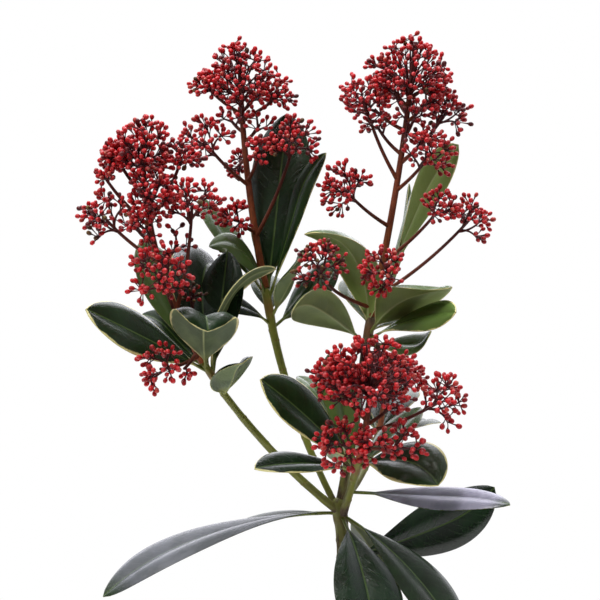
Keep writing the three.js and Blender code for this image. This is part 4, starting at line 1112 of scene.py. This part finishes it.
for head_number, name in enumerate(SHOOT_ORDER):
    roll = dice(11 + head_number)
    draw = np.random.default_rng(80 + head_number)
    stalk, (at, width, height, count), dome_dull, sprays = FLOWER_HEADS[name]
    axis = arc(stem_tips[name] + heading(*TUFT_STEMS[name][:2]) * GAP, *stalk)
    caps = [cap_twigs(axis, at, width, height, count, DOME_CAP, at - DOME_FORK, roll, draw)]
    dull = [np.full(count, dome_dull)]
    branches = []
    for place, azimuth, rise, length, swing, size, groups, spray_dull in sprays:
        branches.append(arc(point_at(axis, place), azimuth, rise, length, SPRAY_BEND, 0, swing))
        caps.append(cap_twigs(branches[-1], 1, size, size, groups, SPRAY_CAP, SPRAY_FORK, roll, draw))
        dull.append(np.full(groups, spray_dull))
    low, high, number, length, size, groups = SPRIGS[name]
    for k in range(number):
        azimuth = math.degrees(k * GOLDEN_ANGLE) + draw.uniform(-15, 15)
        place = point_at(axis, low + (high - low) * (k + 0.5) / number)
        rise, reach = draw.uniform(20, 42), length * draw.uniform(0.8, 1.1)
        branches.append(arc(place, azimuth, rise, reach, SPRIG_BEND))
        caps.append(cap_twigs(branches[-1], 1, size, size, groups, SPRIG_CAP, SPRAY_FORK, roll, draw))
        dull.append(np.full(groups, dome_dull))
    roots, pulls, tips, places, leashes = (np.concatenate(parts) for parts in zip(*caps))
    clear = clear_of_leaves(tips, GROUP_ROOM)
    roots, pulls, tips, dull = roots[clear], pulls[clear], tips[clear], np.concatenate(dull)[clear]
    out = unit(tips - roots)
    pulls = pulls + draw.normal(0, UNEVEN, pulls.shape)
    twigs = bowed(roots - out * TWIG_FOOT, pulls, tips - out * TWIG_END, TWIG_ROWS)

    places = apart(places + draw.normal(0, UNEVEN, places.shape), BUD_WIDTH * 1.1)
    to_group = np.linalg.norm(places[:, None] - tips[None], axis=2)
    kept = clear_of_leaves(places, BUD_ROOM) & (to_group.min(axis=1) < leashes)
    places, group = places[kept], to_group[kept].argmin(axis=1)
    joints = twigs[group][:, TWIG_JOINTS]
    off = np.abs(np.linalg.norm(joints - places[:, None], axis=2) - STALKLET_LENGTH)
    joint = joints[np.arange(len(places)), off.argmin(axis=1)]
    facing = unit(unit(places - joint) + out[group] * 0.3 + draw.normal(0, 0.1, places.shape))
    size = draw.uniform(0.86, 1.1, len(places)) * (1 - DULL_SHRINK * dull[group])
    bud_foot = places - facing * (BUD_LENGTH / 2 * size - BUD_SEAT)[:, None]
    pull = (joint + bud_foot) / 2 + out[group] * draw.uniform(-0.2, 0.9, (len(places), 1)) - facing * 0.5
    stalklets = bowed(joint, pull, bud_foot, len(STALKLET_RADII))

    row = np.arange(LIMB_ROWS)
    foot_radius = min(STALK_RADII[0], SHOOTS[name][5][1])
    stalk_radii = np.linspace(foot_radius, STALK_RADII[1], LIMB_ROWS) + LIMB_COLLAR * np.exp(-row / 1.2)
    branch_radii = np.linspace(*BRANCH_RADII, LIMB_ROWS) + LIMB_COLLAR * np.exp(-row / 1.5)
    surface_piece("flowers_" + name + "_stalks", [
        stalk_sheet(axis[None], stalk_radii, 20, 0.05),
        stalk_sheet(np.stack(branches), branch_radii, 12, 0.5),
        stalk_sheet(twigs, np.linspace(*TWIG_RADII, TWIG_ROWS), 7, 0.9),
        stalk_sheet(stalklets, STALKLET_RADII, 5, 1.0)], [stalk_skin], "bud", "flowers_" + name)

    # By chance, and more often in a duller spray, a bud is withered, maroon or crimson. A few are coral.
    chance = draw.uniform(0, 1, len(places))
    dullness = dull[group]
    kind = np.select([chance < dullness ** 2 * 0.55, chance < 0.02 + dullness * 0.6,
                      chance < 0.25 + dullness * 0.45, chance > 0.92], [4, 2, 1, 3], 0)
    # Each bud's place from foot to tip, which sets its painted shade at the foot and its paler tip.
    shapes, foot_to_tip = buds(places, facing, size, draw.uniform(0, 2 * math.pi, len(places)))
    surface_piece("flowers_" + name + "_buds", [
        {"points": shapes, "finish": kind[:, None, None], "marks": {"foot_to_tip": foot_to_tip}}],
        bud_finishes, "bud", "flowers_" + name)


# The studio: the photograph's camera, a plain pale floor under the pot, and soft white light from a lamp
# above, one high on the left in front, a wide one behind and a weak one on the right, in a white room that is
# lightest above and behind.
AIM = np.array([-22.0, 0.0, 304.405])
CAMERA_DISTANCE = 1000
CAMERA_DOWN = 5
CAMERA_LENS = 120
CAMERA_SENSOR = 36
FLOOR_RADIUS = 600
FLOOR_HEIGHT = -0.5
FLOOR_RINGS = 24
FLOOR_TURNS = 96
LAMP_AIM = np.array([0, 0, 0.3])


def lamp(name, power, size, place, colour):
    """A square soft box of that size at a place, both in metres, looking at the plant."""
    light = bpy.data.lights.new(name, "AREA")
    light.energy, light.size, light.color = power, size, colour
    made = put(name, light)
    made.location = place
    back = unit(np.array(place) - LAMP_AIM)
    right = unit(np.cross([0, 1e-6, 1], back))
    axes = np.stack([right, np.cross(back, right), back], axis=1)
    made.rotation_euler = mathutils.Matrix(axes.tolist()).to_euler()


camera = put("photo_camera", bpy.data.cameras.new("photo_camera"))
camera.location = (AIM - heading(90, -CAMERA_DOWN) * CAMERA_DISTANCE) * MM
camera.rotation_euler = (math.radians(90 - CAMERA_DOWN), 0, 0)
camera.data.sensor_width = CAMERA_SENSOR
camera.data.lens = CAMERA_LENS
camera.data.clip_start, camera.data.clip_end = 0.05, 20
bpy.context.scene.camera = camera

paint, tree = new_finish("studio_floor", 0.2)
scuff, dust = patches(object_place(tree), 3.0, 0.35, 0.7, 90.0)
coat(paint, between(scuff, "f2f1ee", "eeedea"), spread(dust, 0.3, 0.7, 0.7, 0.85))
floor_rings = [(radius, FLOOR_HEIGHT) for radius in np.linspace(FLOOR_RADIUS, 0, FLOOR_RINGS)]
floor = grid_object("floor", [{"points": turned(floor_rings, FLOOR_TURNS)}], [paint])

lamp("key_lamp", 16.0, 0.55, (-0.6, -0.7, 1.45), (1.0, 0.99, 0.97))
lamp("top_lamp", 14.0, 0.55, (0.1, 0.35, 1.6), (0.94, 0.92, 1.0))
lamp("back_lamp", 20.0, 1.7, (-0.15, 1.35, 1.25), (0.93, 0.92, 1.0))
lamp("low_lamp", 1.5, 0.9, (1.1, -0.6, 0.9), (1.0, 1.0, 1.0))

world = bpy.data.worlds.new("white_room")
bpy.context.scene.world = world
world.use_nodes = True
tree = world.node_tree
tree.nodes.clear()
ray = node(tree, "ShaderNodeLightPath").outputs["Is Camera Ray"]
way = node(tree, "ShaderNodeSeparateXYZ", {0: node(tree, "ShaderNodeTexCoord").outputs["Generated"]}).outputs
sky = spread(times(way[1], 0.9, way[2]), -0.1, 1.25, 0.03, 1.25)
room_light = node(tree, "ShaderNodeBackground", {"Color": (0.94, 0.93, 1.0, 1.0), "Strength": sky}).outputs[0]
white = node(tree, "ShaderNodeBackground", {"Color": (1.0, 1.0, 1.0, 1.0), "Strength": 1.0}).outputs[0]
seen = node(tree, "ShaderNodeMixShader", {0: ray, 1: room_light, 2: white}).outputs[0]
node(tree, "ShaderNodeOutputWorld", {"Surface": seen})
bpy.context.scene.view_settings.view_transform = "Standard"
